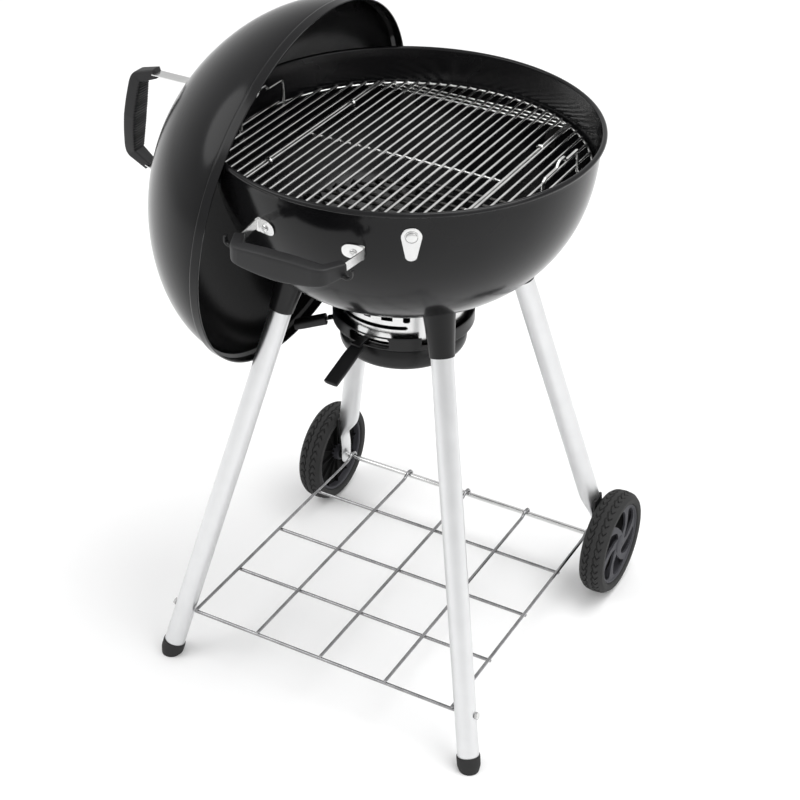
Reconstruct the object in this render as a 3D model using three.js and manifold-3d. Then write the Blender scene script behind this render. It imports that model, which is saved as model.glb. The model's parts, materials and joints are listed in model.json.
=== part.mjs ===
// Kettle charcoal grill on two feet and two wheels, with its lid hung on the side of the bowl.
// Millimetres, +Z up. X runs along the wheel axle, -Y is the handle side.
// While the pieces are built the floor under the bowl's axis is the origin.
// The finished group is moved so that the origin is the middle of its footprint.
import * as THREE from 'three';
import { mergeVertices } from 'three/addons/utils/BufferGeometryUtils.js';
import Module from 'manifold-3d';

const wasm = await Module();
wasm.setup();

// ---------------------------------------------------------------- driving dimensions
const GAP = 0.3; // between pieces that touch
const ROUND = 36; // facets round the bowl and the lid
const DISH = 8; // facets from pole to rim
const BAND = 24; // facets round the collar, the band and the pan

const RIM_Z = 905; // top of the bowl's rolled rim
const BOWL_R = 283; // outside of the bowl's wall
const RIM_R = BOWL_R + 7; // outside of the rolled rim
const ROLL_R = 4; // radius of the roll
const BOWL_DEPTH = 266;
const POLE_Z = RIM_Z - BOWL_DEPTH; // lowest point of the bowl
const BOWL_POWER = 2.35; // 2 is an ellipse, more is fuller
const SHEET = 2; // enamelled sheet

const COLLAR_R = 100; // steel collar under the bowl
const COLLAR_SHEET = 1.5;
const RING_R = COLLAR_R + 9.5; // band that carries the lever's window
const RING_TOP = POLE_Z - 34;
const RING_BOTTOM = RING_TOP - 22;
const PAN_BOTTOM = RING_BOTTOM - 43;
const PAN_HANDLE = 204; // direction of the pan's handle, degrees from +X
const WINDOW = { from: -18, to: 17, low: RING_BOTTOM + 3, high: RING_TOP - 5 }; // degrees from -Y, heights

const SHAFT_R = 6; // sweeper shaft
const VENT = { inner: 30, outer: COLLAR_R - 12, width: 24, first: 62 }; // three air vents
const VANE_WIDTH = 26;
const VANE_LAG = 17; // vane behind its vent at rest
const LEVER_ANGLE = -6; // degrees from -Y
const LEVER_Z = RING_BOTTOM + 10;

const GRATE_Z = RIM_Z - 52; // axis of the cooking rods
const GRATE_R = BOWL_R - 9.5;
const GRATE_PITCH = 16;
const GRATE_ROD = 2.4;
const GRATE_RING = 5; // square rim of the grate
const HINGE_X = Math.round(0.585 * GRATE_R / GRATE_PITCH) * GRATE_PITCH; // outermost rod of the centre
const FLAP_X = HINGE_X + 6; // innermost rod of a flap
const FLAP_HANDLE = { half: 55, height: 44 };
const COAL_Z = POLE_Z + 76;
const COAL_PITCH = 26;
const COAL_ROD = 3;
const COAL_CROSS = 75; // cross bars from the middle

const FOOT = { x: BOWL_R - 5.3, front: 0.5 - BOWL_R, rear: BOWL_R - 9.5 }; // leg axes at the floor
const LEG_TOP = { x: 0.46 * BOWL_R, y: 0.449 * BOWL_R, z: POLE_Z + 11 }; // a point on each axis
const LEG_R = 17;
const LEG_SHEET = 1.5;
const LEG_FACETS = 12;
const SOCKET = {
  low: POLE_Z - 17, high: POLE_Z + 96, bore: POLE_Z + 33, lowR: LEG_R + 1.6, highR: LEG_R + 6.8,
};

const WHEEL_R = 91.1;
const WHEEL_WIDTH = 43;
const WHEEL_FACETS = 24;
const HUB_R = WHEEL_R - 25;
const AXLE_R = 4;
const LEG_END = WHEEL_R + 27; // where a rear leg's tube stops above its tongue
const legX = (z) => THREE.MathUtils.lerp(FOOT.x, LEG_TOP.x, z / LEG_TOP.z);
const legY = (z) => THREE.MathUtils.lerp(FOOT.rear, LEG_TOP.y, z / LEG_TOP.z);
const AXLE_Y = legY(WHEEL_R) - 10.6;
const TONGUE = { inner: legX(LEG_END) - 5.4, outer: legX(LEG_END) + 2.6, top: WHEEL_R + 74 };
const WHEEL_X = TONGUE.outer + WHEEL_WIDTH / 2 + 3;

const SHELF_WIRE = 5.5;
const SHELF_Z = WHEEL_R - 3.9; // lower layer of wires
const SHELF = {
  halfX: TONGUE.inner - 10.7,
  near: THREE.MathUtils.lerp(FOOT.front, -LEG_TOP.y, SHELF_Z / LEG_TOP.z),
  far: AXLE_Y + 7.6,
  wires: 5,
};

const HANDLE = { y: -BOWL_R - 78, z: RIM_Z - 67, ear: 70.4 }; // ear: from the middle along X
const SCREW_R = 5;
const COVER = { angle: 30.5, boss: RIM_Z - 38, low: RIM_Z - 77, high: RIM_Z - 23, wide: 14.5, narrow: 8.5 };

const LID_AT = { x: -0.58 * RIM_R, z: RIM_Z - 143, tilt: 9 }; // middle of the lid's mouth, degrees
const LID_SKIRT_R = RIM_R + 3.5;
const LID_SKIRT = 15;
const LID_R = LID_SKIRT_R - 5;
const LID_DEPTH = 213;
const LID_POWER = 1.7;
const LID_GRIP = LID_SKIRT + LID_DEPTH + 108; // grip's outer face from the mouth
const DAMPER = { reach: 0.52 * LID_R, radius: 42, holes: 4, hole: 9, circle: 24 };
const HOOK_WIDTH = 30;

const FINISH = {
  enamel: { color: 0x0b0b0c, roughness: 0.18, metalness: 0.2 },
  black: { color: 0x161617, roughness: 0.55, metalness: 0.1 },
  plastic: { color: 0x1c1c1e, roughness: 0.6, metalness: 0 },
  rubber: { color: 0x101010, roughness: 0.85, metalness: 0 },
  steel: { color: 0xc9cbcd, roughness: 0.28, metalness: 1 },
  wire: { color: 0xb9bbbd, roughness: 0.35, metalness: 1 },
  iron: { color: 0x5b5b5c, roughness: 0.5, metalness: 0.9 },
  aluminium: { color: 0xc4c6c8, roughness: 0.42, metalness: 1 },
};

// ---------------------------------------------------------------- shared helpers
const TAU = Math.PI * 2;
const rad = (degrees) => degrees * Math.PI / 180;
const vec = (x, y, z) => new THREE.Vector3(x, y, z);
const X = vec(1, 0, 0);
const Y = vec(0, 1, 0);
const Z = vec(0, 0, 1);
// An angle counted from -Y towards +X, as one counted from +X.
const fromFront = (degrees) => rad(degrees - 90);
const atAngle = (angle, r, z) => vec(r * Math.cos(angle), r * Math.sin(angle), z);

// A closed geometry as a solid that can be joined and cut.
function solid(geometry) {
  const bare = geometry.clone();
  bare.deleteAttribute('normal');
  bare.deleteAttribute('uv');
  const merged = mergeVertices(bare, 1e-4);
  return new wasm.Manifold(new wasm.Mesh({
    numProp: 3,
    vertProperties: new Float32Array(merged.attributes.position.array),
    triVerts: new Uint32Array(merged.index.array),
  }));
}

function geometryOf(body) {
  const mesh = body.getMesh();
  const geometry = new THREE.BufferGeometry();
  geometry.setAttribute('position', new THREE.BufferAttribute(mesh.vertProperties, 3));
  geometry.setIndex(new THREE.BufferAttribute(mesh.triVerts, 1));
  geometry.computeVertexNormals();
  return geometry;
}

const join = (geometries) => geometries.map(solid).reduce((sum, next) => sum.add(next));
const cut = (body, geometries) => geometries.map(solid).reduce((rest, next) => rest.subtract(next), body);

// Stand a geometry's own Z along zAxis at origin, its X as near xHint as it can be.
function place(geometry, origin, zAxis, xHint) {
  const z = zAxis.clone().normalize();
  const x = xHint.clone().addScaledVector(z, -xHint.dot(z)).normalize();
  const y = z.clone().cross(x);
  return geometry.applyMatrix4(new THREE.Matrix4().makeBasis(x, y, z).setPosition(origin));
}

// A closed outline of [radius, height] turned about Z through a full turn or an arc.
function turned(outline, facets, start = 0, sweep = TAU) {
  const full = sweep > TAU - 1e-6;
  const points = outline.map(([r, z]) => new THREE.Vector2(r, z));
  if (THREE.ShapeUtils.isClockWise(points)) points.reverse();
  const columns = full ? facets : facets + 1;
  const positions = [];
  const index = points.map((point) => {
    const ring = [];
    for (let j = 0; j < columns; j += 1) {
      if (point.x > 1e-9 || j === 0) {
        const angle = start + sweep * j / facets;
        positions.push(point.x * Math.cos(angle), point.x * Math.sin(angle), point.y);
      }
      ring.push(positions.length / 3 - 1);
    }
    if (full) ring.push(ring[0]);
    return ring;
  });
  const triangles = [];
  const face = (a, b, c) => {
    if (a !== b && b !== c && a !== c) triangles.push(a, b, c);
  };
  for (let i = 0; i < points.length; i += 1) {
    const low = index[i];
    const high = index[(i + 1) % points.length];
    for (let j = 0; j < facets; j += 1) {
      face(low[j], high[j + 1], high[j]);
      face(low[j], low[j + 1], high[j + 1]);
    }
  }
  if (!full) {
    THREE.ShapeUtils.triangulateShape(points, []).forEach(([a, b, c]) => {
      face(index[a][0], index[b][0], index[c][0]);
      face(index[a][facets], index[c][facets], index[b][facets]);
    });
  }
  const geometry = new THREE.BufferGeometry();
  geometry.setAttribute('position', new THREE.Float32BufferAttribute(positions, 3));
  geometry.setIndex(triangles);
  return geometry;
}

// A flat outline given a thickness along its own Z, half on each side.
function slab(outline, thickness, holes = []) {
  const shape = new THREE.Shape(outline.map(([a, b]) => new THREE.Vector2(a, b)));
  holes.forEach((hole) => shape.holes.push(new THREE.Path(hole.map(([a, b]) => new THREE.Vector2(a, b)))));
  const geometry = new THREE.ExtrudeGeometry(shape, { depth: thickness, steps: 1, bevelEnabled: false });
  return geometry.translate(0, 0, -thickness / 2);
}

// The outline of a strip or wire of one thickness bent along a path, mitred at its bends.
function ribbon(path, thickness) {
  const sides = path.map((point, i) => {
    const before = path[Math.max(i - 1, 0)];
    const after = path[Math.min(i + 1, path.length - 1)];
    const way = (from, to) => new THREE.Vector2(to[0] - from[0], to[1] - from[1]).normalize();
    const into = i > 0 ? way(before, point) : way(point, after);
    const out = i < path.length - 1 ? way(point, after) : into;
    const along = into.clone().add(out).normalize();
    const reach = thickness / 2 / along.dot(into);
    return [
      [point[0] - along.y * reach, point[1] + along.x * reach],
      [point[0] + along.y * reach, point[1] - along.x * reach],
    ];
  });
  return [...sides.map((pair) => pair[0]), ...sides.map((pair) => pair[1]).reverse()];
}

const circle = (a, b, radius, sides) => Array.from({ length: sides }, (_, i) => [
  a + radius * Math.cos(TAU * i / sides),
  b + radius * Math.sin(TAU * i / sides),
]);

function box(from, to) {
  const geometry = new THREE.BoxGeometry(to[0] - from[0], to[1] - from[1], to[2] - from[2]);
  return geometry.translate((from[0] + to[0]) / 2, (from[1] + to[1]) / 2, (from[2] + to[2]) / 2);
}

// A straight round rod between two points.
function rod(from, to, radius, sides) {
  const length = from.distanceTo(to);
  const outline = [[0, 0], [radius, 0], [radius, length], [0, length]];
  const hint = Math.abs(to.x - from.x) < length * 0.7 ? X : Y;
  return place(turned(outline, sides), from, to.clone().sub(from), hint);
}

// The side view of a dished shell as [radius, depth], from its pole to its rim.
function dish(radius, depth, power, steps) {
  return Array.from({ length: steps + 1 }, (_, i) => {
    const turn = Math.PI / 2 * i / steps;
    return [radius * Math.sin(turn) ** (2 / power), depth * Math.cos(turn) ** (2 / power)];
  });
}

// Where a line of [a, b] points has the wanted a, and the same with the columns swapped.
function along(line, a, from = 0, to = 1) {
  for (let i = 1; i < line.length; i += 1) {
    const [p, q] = [line[i - 1], line[i]];
    if ((p[from] - a) * (q[from] - a) <= 0 && p[from] !== q[from]) {
      return p[to] + (q[to] - p[to]) * (a - p[from]) / (q[from] - p[from]);
    }
  }
  throw new Error(`no point at ${a}`);
}

const group = new THREE.Group();
group.name = 'kettle_grill';

function part(name, shape, finish) {
  const geometry = shape.isBufferGeometry ? geometryOf(solid(shape)) : geometryOf(shape);
  const mesh = new THREE.Mesh(geometry, new THREE.MeshStandardMaterial(FINISH[finish]));
  mesh.name = name;
  group.add(mesh);
}

// ---------------------------------------------------------------- bowl
const bowlLine = (offset) => dish(BOWL_R + offset, BOWL_DEPTH + offset, BOWL_POWER, DISH)
  .map(([r, d]) => [r, RIM_Z - d]);
const outerLine = bowlLine(0);
const innerLine = bowlLine(-SHEET);
const outerR = (z) => along(outerLine, z, 1, 0);
const innerZ = (r) => along(innerLine, r);

// Everything the bowl's outside keeps clear, and the room inside it.
const bowlKeepOut = solid(turned([...bowlLine(GAP), [0, RIM_Z]], ROUND));
const bowlRoom = solid(turned([...bowlLine(-SHEET - GAP), [0, RIM_Z]], ROUND));

function ventCutters() {
  const low = POLE_Z - 39;
  const high = POLE_Z + 61;
  const outline = [[VENT.inner, low], [VENT.outer, low], [VENT.outer, high], [VENT.inner, high]];
  const start = VENT.first - VENT.width / 2;
  return [0, 120, 240].map((turn) => turned(outline, 3, rad(turn + start), rad(VENT.width)));
}

function buildBowl() {
  const shaftHole = SHAFT_R + 1;
  const wallTop = RIM_Z - 2 * ROLL_R;
  const below = (line) => line.filter(([r, z]) => r > shaftHole && z < wallTop - 4);
  const roll = [-100, -40, 20, 80, 140].map((turn) => [
    RIM_R - ROLL_R + ROLL_R * Math.cos(rad(turn)),
    RIM_Z - ROLL_R + ROLL_R * Math.sin(rad(turn)),
  ]);
  const outline = [
    [shaftHole, along(outerLine, shaftHole)],
    ...below(outerLine),
    [outerR(wallTop), wallTop],
    ...roll,
    [outerR(wallTop) - SHEET, wallTop],
    ...below(innerLine).reverse(),
    [shaftHole, innerZ(shaftHole)],
  ];
  const probeZ = COVER.boss - 24;
  const angle = fromFront(COVER.angle);
  const probe = rod(atAngle(angle, BOWL_R - 20, probeZ), atAngle(angle, BOWL_R + 10, probeZ), 5, 8);
  part('bowl', cut(solid(turned(outline, ROUND)), [...ventCutters(), probe]), 'enamel');
}

// ---------------------------------------------------------------- collar, vent ring and ash pan
function arcCutter(from, to, low, high, facets) {
  const outline = [[COLLAR_R - 8, low], [RING_R + 8, low], [RING_R + 8, high], [COLLAR_R - 8, high]];
  return turned(outline, facets, fromFront(from), rad(to - from));
}

function buildUnderside() {
  const foot = RING_BOTTOM + 2 + GAP;
  const inner = COLLAR_R - COLLAR_SHEET;
  const top = POLE_Z + 26;
  const collar = solid(turned([[inner, foot], [COLLAR_R, foot], [COLLAR_R, top], [inner, top]], BAND));
  const slots = [
    arcCutter(WINDOW.from, WINDOW.to, WINDOW.low + 1, WINDOW.high, 4),
    arcCutter(-34, 23, RING_TOP + 10, RING_TOP + 16, 6),
    arcCutter(150, 210, RING_TOP + 10, RING_TOP + 16, 6),
    arcCutter(-12, -6, RING_TOP + 25, RING_TOP + 29, 1),
    arcCutter(4, 13, RING_TOP + 24, RING_TOP + 30, 1),
    arcCutter(22, 26, RING_TOP + 24, RING_TOP + 30, 1),
  ];
  part('collar', cut(collar.subtract(bowlKeepOut), slots), 'steel');

  const wall = RING_R - 1.5;
  const ledge = COLLAR_R - 3;
  const ring = turned([
    [ledge, RING_BOTTOM], [RING_R, RING_BOTTOM], [RING_R, RING_TOP],
    [wall, RING_TOP], [wall, RING_BOTTOM + 2], [ledge, RING_BOTTOM + 2],
  ], BAND);
  const window = arcCutter(WINDOW.from, WINDOW.to, WINDOW.low, WINDOW.high, 4);
  part('vent_ring', cut(solid(ring), [window]), 'black');

  const brim = RING_BOTTOM - GAP;
  const pan = [
    [0, PAN_BOTTOM], [COLLAR_R - 9, PAN_BOTTOM], [COLLAR_R - 2, PAN_BOTTOM + 8], [COLLAR_R, brim],
    [COLLAR_R - 1.5, brim], [COLLAR_R - 3.5, PAN_BOTTOM + 8.6], [COLLAR_R - 9.6, PAN_BOTTOM + 1.5],
    [0, PAN_BOTTOM + 1.5],
  ];
  part('ash_pan', turned(pan, BAND), 'black');

  // the pan's handle, on a bent strip fixed to its wall
  const out = atAngle(rad(PAN_HANDLE), 1, 0);
  const across = out.clone().cross(Z);
  const origin = vec(0, 0, 0);
  const panKeepOut = turned([
    [0, PAN_BOTTOM], [COLLAR_R - 2 + GAP, PAN_BOTTOM + 8], [COLLAR_R + GAP, brim], [0, brim],
  ], BAND);
  const fromPan = (r, z) => [COLLAR_R + r, PAN_BOTTOM + z];
  const strip = ribbon([fromPan(-0.6, 18), fromPan(0.4, 35), fromPan(17, 30.5)], 2.4);
  part('pan_bracket', cut(solid(place(slab(strip, 16), origin, across, out)), [panKeepOut]), 'steel');
  const hold = [
    fromPan(17.7, 22), fromPan(64, 7), fromPan(70, 10), fromPan(71, 19), fromPan(66, 24), fromPan(17.7, 37),
  ];
  part('pan_handle', place(slab(hold, 20), origin, across, out), 'plastic');
}

// ---------------------------------------------------------------- sweeper and its lever
function buildSweeper() {
  const clear = 0.5;
  const vane = (middle) => {
    const tip = COLLAR_R - 4;
    const line = [10, ...innerLine.map(([r]) => r).filter((r) => r > 12 && r < tip - 2), tip];
    const low = line.map((r) => [r, innerZ(r) + clear]);
    const high = line.map((r) => [r, innerZ(r) + clear + 2]).reverse();
    return turned([...low, ...high], 3, rad(middle - VANE_WIDTH / 2), rad(VANE_WIDTH));
  };
  const floor = innerZ(10) + clear;
  const hub = turned([
    [0, LEVER_Z - 1], [SHAFT_R, LEVER_Z - 1], [SHAFT_R, floor], [24, floor + 0.6],
    [24, floor + 4], [16, floor + 7], [0, floor + 8],
  ], 16);
  const vanes = [0, 120, 240].map((turn) => vane(VENT.first - VANE_LAG + turn));
  part('sweeper', join([hub, ...vanes]), 'steel');

  const way = atAngle(fromFront(LEVER_ANGLE), 1, 0);
  const across = way.clone().cross(Z);
  const neck = RING_R + 2.5;
  const end = RING_R + 16.5;
  const arm = [[-12, 6], [-12, -6], [neck, -6], [end, -9], [end, 9], [neck, 6]];
  const plate = place(slab(arm, 3), vec(0, 0, LEVER_Z - 2.5 - GAP), Z, way);
  part('lever_arm', plate, 'black');
  const grip = ribbon([[end - 10, LEVER_Z - 8.4], [end - 2, LEVER_Z - 9.8], [end + 64, LEVER_Z - 38.5]], 7);
  part('lever_grip', place(slab(grip, 24), vec(0, 0, 0), across, way), 'plastic');
}

// ---------------------------------------------------------------- grates
function buildCookingGrate() {
  const ringR = GRATE_R - GRATE_RING / 2;
  const ringIn = GRATE_R - GRATE_RING;
  const ringTop = GRATE_Z - 1.5;
  const ringLow = ringTop - GRATE_RING;
  const crossZ = GRATE_Z - GRATE_ROD - 1.5;
  const crossY = GRATE_R - 50.5;
  const ringOutline = [[ringIn, ringLow], [GRATE_R, ringLow], [GRATE_R, ringTop], [ringIn, ringTop]];
  const reach = (x) => Math.sqrt(ringR ** 2 - x ** 2) + 1;
  const w = GRATE_ROD - 0.3;
  const bar = (x) => box([x - w, -reach(x), GRATE_Z - w], [x + w, reach(x), GRATE_Z + w]);
  const spread = (x) => Math.acos(x / ringR);

  const pieces = [];
  for (let x = -HINGE_X; x <= HINGE_X; x += GRATE_PITCH) pieces.push(bar(x));
  const half = Math.PI / 2 - spread(HINGE_X);
  [1, -1].forEach((side) => {
    pieces.push(turned(ringOutline, 6, side * Math.PI / 2 - half, 2 * half));
  });
  [-crossY, 0, crossY].forEach((y) => {
    const end = Math.min(HINGE_X, Math.sqrt((ringR - 1) ** 2 - y ** 2));
    pieces.push(box([-end, y - 1.8, crossZ - 1.8], [end, y + 1.8, crossZ + 1.8]));
  });
  part('grate_centre', join(pieces), 'wire');

  [['left', -1], ['right', 1]].forEach(([name, side]) => {
    const flap = [];
    const last = Math.floor((GRATE_R - 8 - FLAP_X) / GRATE_PITCH);
    for (let i = 0; i <= last; i += 1) flap.push(bar(side * (FLAP_X + i * GRATE_PITCH)));
    const turn = spread(FLAP_X);
    flap.push(turned(ringOutline, 8, (side > 0 ? 0 : Math.PI) - turn, 2 * turn));
    flap.push(box(
      [Math.min(side * FLAP_X, side * (ringR - 1)), -1.8, crossZ - 1.8],
      [Math.max(side * FLAP_X, side * (ringR - 1)), 1.8, crossZ + 1.8],
    ));
    const low = GRATE_Z + 1;
    const top = GRATE_Z + FLAP_HANDLE.height;
    const h = FLAP_HANDLE.half;
    const loop = [
      [-h, low], [-h + 3, top], [-9, top], [-5, top + 7], [5, top + 7], [9, top], [h - 3, top], [h, low],
    ];
    const handleX = side * (FLAP_X + (last - 1) * GRATE_PITCH);
    flap.push(place(slab(ribbon(loop, 4.4), 4.4), vec(handleX, 0, 0), X, Y));
    [-120, 120].forEach((y) => {
      const eye = turned([[3.6, -3], [5.2, -3], [5.2, 3], [3.6, 3]], 8, rad(22.5));
      flap.push(place(eye, vec(side * HINGE_X, y, GRATE_Z), Y, X));
    });
    part(`grate_flap_${name}`, join(flap), 'wire');
  });
}

function buildGrateSupports() {
  const seat = GRATE_Z - 1.5 - GRATE_RING - GAP;
  const backRoom = solid(turned([...bowlLine(-SHEET - GAP - 2), [0, RIM_Z]], ROUND));
  const places = { rear_right: 62, rear_left: 118, front_left: 242, front_right: 298 };
  Object.entries(places).forEach(([name, angle]) => {
    const half = 2.6;
    const block = (inner, low) => solid(turned(
      [[inner, low], [RIM_R, low], [RIM_R, seat], [inner, seat]],
      1,
      rad(angle - half),
      rad(2 * half),
    ));
    const shelf = block(BOWL_R - 21, seat - 2).intersect(bowlRoom);
    const back = block(BOWL_R - 28, seat - 45).intersect(bowlRoom).subtract(backRoom);
    part(`grate_support_${name}`, shelf.add(back), 'steel');
  });
}

function buildCharcoalGrate() {
  const pieces = [];
  const inside = along(innerLine, COAL_Z, 1, 0);
  const w = COAL_ROD - 0.4;
  const count = Math.floor(Math.sqrt(inside ** 2 - (COAL_CROSS + 10) ** 2) / COAL_PITCH);
  for (let i = -count; i <= count; i += 1) {
    const y = i * COAL_PITCH;
    const half = Math.sqrt((inside + 12) ** 2 - y ** 2);
    pieces.push(box([-half, y - w, COAL_Z - w], [half, y + w, COAL_Z + w]));
  }
  const crossZ = COAL_Z - COAL_ROD - 1.5;
  const half = count * COAL_PITCH + COAL_ROD;
  [-COAL_CROSS, COAL_CROSS].forEach((x) => {
    pieces.push(box([x - 2.5, -half, crossZ - 2.5], [x + 2.5, half, crossZ + 2.5]));
  });
  part('charcoal_grate', join(pieces).intersect(bowlRoom), 'iron');
}

// ---------------------------------------------------------------- legs, sockets and feet
// A point on a leg's axis at a height.
function legAt(side, end, z) {
  const foot = vec(side * FOOT.x, end < 0 ? FOOT.front : FOOT.rear, 0);
  const top = vec(side * LEG_TOP.x, end * LEG_TOP.y, LEG_TOP.z);
  return foot.lerp(top, z / LEG_TOP.z);
}

function tube(from, to, outer, inner, facets) {
  const length = from.distanceTo(to);
  const outline = [[inner, 0], [outer, 0], [outer, length], [inner, length]];
  return place(turned(outline, facets), from, to.clone().sub(from), X);
}

function buildLegs() {
  [['left', -1], ['right', 1]].forEach(([sideName, side]) => {
    [['front', -1], ['rear', 1]].forEach(([endName, end]) => {
      const name = `${endName}_${sideName}`;
      const at = (z) => legAt(side, end, z);
      const up = at(100).sub(at(0)).normalize();

      // socket: a tapered sleeve under the bowl, bored for the leg
      const length = at(SOCKET.low).distanceTo(at(SOCKET.high));
      const bore = at(SOCKET.low).distanceTo(at(SOCKET.bore));
      const hole = LEG_R + GAP;
      const sleeve = turned([
        [hole, 0], [SOCKET.lowR, 0], [SOCKET.highR, length * 0.62], [SOCKET.highR, length],
        [0, length], [0, bore], [hole, bore],
      ], LEG_FACETS);
      place(sleeve, at(SOCKET.low), up, X);
      part(`socket_${name}`, solid(sleeve).subtract(bowlKeepOut), 'black');

      // leg
      const top = at(SOCKET.bore - 1);
      const low = end < 0 ? at(9) : at(LEG_END);
      const leg = solid(tube(low, top, LEG_R, LEG_R - LEG_SHEET, LEG_FACETS));
      if (end < 0) {
        part(`leg_${name}`, leg, 'aluminium');
        buildFoot(name, at(0), up);
        return;
      }
      const edges = [side * TONGUE.outer, side * (TONGUE.outer + 60)].sort((a, b) => a - b);
      const above = TONGUE.top + WHEEL_R;
      const wheelSide = box([edges[0], AXLE_Y - WHEEL_R, 0], [edges[1], AXLE_Y + WHEEL_R, above]);
      const profile = [
        [-15, 0], [-11, -11], [0, -15], [11, -11], [15, 0], [14, 39],
        [8, TONGUE.top - WHEEL_R], [-18, TONGUE.top - WHEEL_R],
      ].map(([y, z]) => [AXLE_Y + y, WHEEL_R + z]);
      const tongue = slab(profile, TONGUE.outer - TONGUE.inner, [circle(AXLE_Y, WHEEL_R, AXLE_R + 0.5, 12)]);
      place(tongue, vec(side * (TONGUE.inner + TONGUE.outer) / 2, 0, 0), X, Y);
      part(`leg_${name}`, cut(leg, [wheelSide]).add(solid(tongue)), 'aluminium');
    });
  });
}

// A rubber cap whose underside is flat on the floor.
function buildFoot(name, floor, up) {
  const hole = LEG_R + GAP;
  const cap = turned([
    [0, -6], [9, -6], [15, 0], [18.6, 8], [18.6, 24], [hole, 24], [hole, 9 - GAP], [0, 9 - GAP],
  ], LEG_FACETS);
  place(cap, floor, up, X);
  const ground = box([floor.x - 60, floor.y - 60, -60], [floor.x + 60, floor.y + 60, 0]);
  part(`foot_${name}`, cut(solid(cap), [ground]), 'rubber');
}

// ---------------------------------------------------------------- wheels and axle
function buildWheels() {
  const w = WHEEL_WIDTH / 2;
  const bossEnd = WHEEL_X - TONGUE.outer - GAP;
  [['left', -1], ['right', 1]].forEach(([name, side]) => {
    const out = vec(side, 0, 0);
    const middle = vec(side * WHEEL_X, AXLE_Y, WHEEL_R);
    const set = (geometry) => place(geometry, middle, out, Y);

    const tyre = turned([
      [HUB_R + GAP, -w + 4], [HUB_R + 13, -w], [WHEEL_R - 5, -w + 1.5], [WHEEL_R, -w + 7],
      [WHEEL_R, w - 7], [WHEEL_R - 5, w - 1.5], [HUB_R + 13, w], [HUB_R + GAP, w - 4],
    ], WHEEL_FACETS);
    part(`tyre_${name}`, set(tyre), 'rubber');

    const hub = turned([
      [AXLE_R + 0.5, -bossEnd + 5], [14, -bossEnd + 5], [14, 5], [HUB_R - 4, 6], [HUB_R - 4, -w + 5],
      [HUB_R, -w + 5], [HUB_R, w - 5], [HUB_R - 4, w - 5], [HUB_R - 4, 11], [15, 12], [AXLE_R + 0.5, 12],
    ], WHEEL_FACETS);
    const windows = Array.from({ length: 6 }, (_, i) => {
      const at = (share, turn) => [
        share * HUB_R * Math.cos(rad(60 * i + turn)),
        share * HUB_R * Math.sin(rad(60 * i + turn)),
      ];
      const outline = [at(0.33, -14), at(0.6, -6), at(0.86, 8), at(0.85, 42), at(0.58, 26), at(0.33, 14)];
      return slab(outline, 40);
    });
    part(`hub_${name}`, cut(solid(set(hub)), windows.map(set)), 'plastic');

    const cap = turned([
      [0, 12 + GAP], [17, 12 + GAP], [16.5, 15], [11, 19], [0, 20.5],
    ], 16);
    part(`hub_cap_${name}`, set(cap), 'plastic');

    const spacer = turned([
      [AXLE_R + 0.5, -bossEnd], [10, -bossEnd], [10, -bossEnd + 4.6], [AXLE_R + 0.5, -bossEnd + 4.6],
    ], 12);
    part(`spacer_${name}`, set(spacer), 'plastic');
  });
  const end = WHEEL_X + 12;
  part('axle', rod(vec(-end, AXLE_Y, WHEEL_R), vec(end, AXLE_Y, WHEEL_R), AXLE_R, 12), 'steel');
}

// ---------------------------------------------------------------- wire shelf
function buildShelf() {
  const h = SHELF_WIRE / 2;
  const upperZ = SHELF_Z + SHELF_WIRE - 0.7;
  const overAxle = WHEEL_R + AXLE_R + GAP + h;
  const pieces = [];
  for (let i = 0; i < SHELF.wires; i += 1) {
    const f = i / (SHELF.wires - 1);
    const y = THREE.MathUtils.lerp(SHELF.near, SHELF.far, f);
    let end = SHELF.halfX + h;
    if (i === 0) end = legX(SHELF_Z + h);
    if (i === SHELF.wires - 1) end = TONGUE.inner - GAP;
    pieces.push(box([-end, y - h, SHELF_Z - h], [end, y + h, SHELF_Z + h]));

    // each long wire rises over the axle and turns down onto the far cross wire
    const x = THREE.MathUtils.lerp(-SHELF.halfX, SHELF.halfX, f);
    const path = [
      [SHELF.near - h, upperZ], [AXLE_Y - 17, upperZ], [AXLE_Y - 6, overAxle],
      [AXLE_Y + 5, overAxle], [SHELF.far + 3, SHELF_Z + 2],
    ];
    pieces.push(place(slab(ribbon(path, SHELF_WIRE), SHELF_WIRE), vec(x, 0, 0), X, Y));
  }
  const legs = [-1, 1].map((side) => rod(legAt(side, -1, 0), legAt(side, -1, 200), LEG_R + GAP, LEG_FACETS));
  part('shelf', cut(join(pieces), legs), 'wire');
  [['left', -1], ['right', 1]].forEach(([name, side]) => {
    const up = legAt(side, -1, 100).sub(legAt(side, -1, 0)).normalize();
    const out = X.clone().addScaledVector(up, -X.dot(up)).normalize().multiplyScalar(side);
    const seat = legAt(side, -1, SHELF_Z).addScaledVector(out, LEG_R + GAP);
    part(`shelf_bolt_${name}`, rod(seat, seat.clone().addScaledVector(out, 4), 6, 6), 'steel');
  });
}

// ---------------------------------------------------------------- hand grips and brackets
// A grip in its own frame: X along it, Y its height, Z outwards with its outer face at 0.
function gripShape() {
  const side = [
    [-84, -40], [-60, -10], [-32, -2.5], [0, 0], [32, -2.5], [60, -10], [84, -40],
    [74, -46], [52, -30], [0, -23], [-52, -30], [-74, -46],
  ];
  const face = [
    [-90, -8], [-50, -16], [0, -21], [50, -16], [90, -8],
    [90, 11], [50, 13], [0, 15], [-50, 13], [-90, 11],
  ];
  const plan = place(slab(side, 60), vec(0, 0, 0), vec(0, -1, 0), X);
  return solid(plan).intersect(solid(slab(face, 120)));
}

function moved(body, matrix) {
  const geometry = geometryOf(body);
  return geometry.applyMatrix4(matrix);
}

const frameAt = (x, y, z, origin) => new THREE.Matrix4().makeBasis(x, y, z).setPosition(origin);

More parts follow.
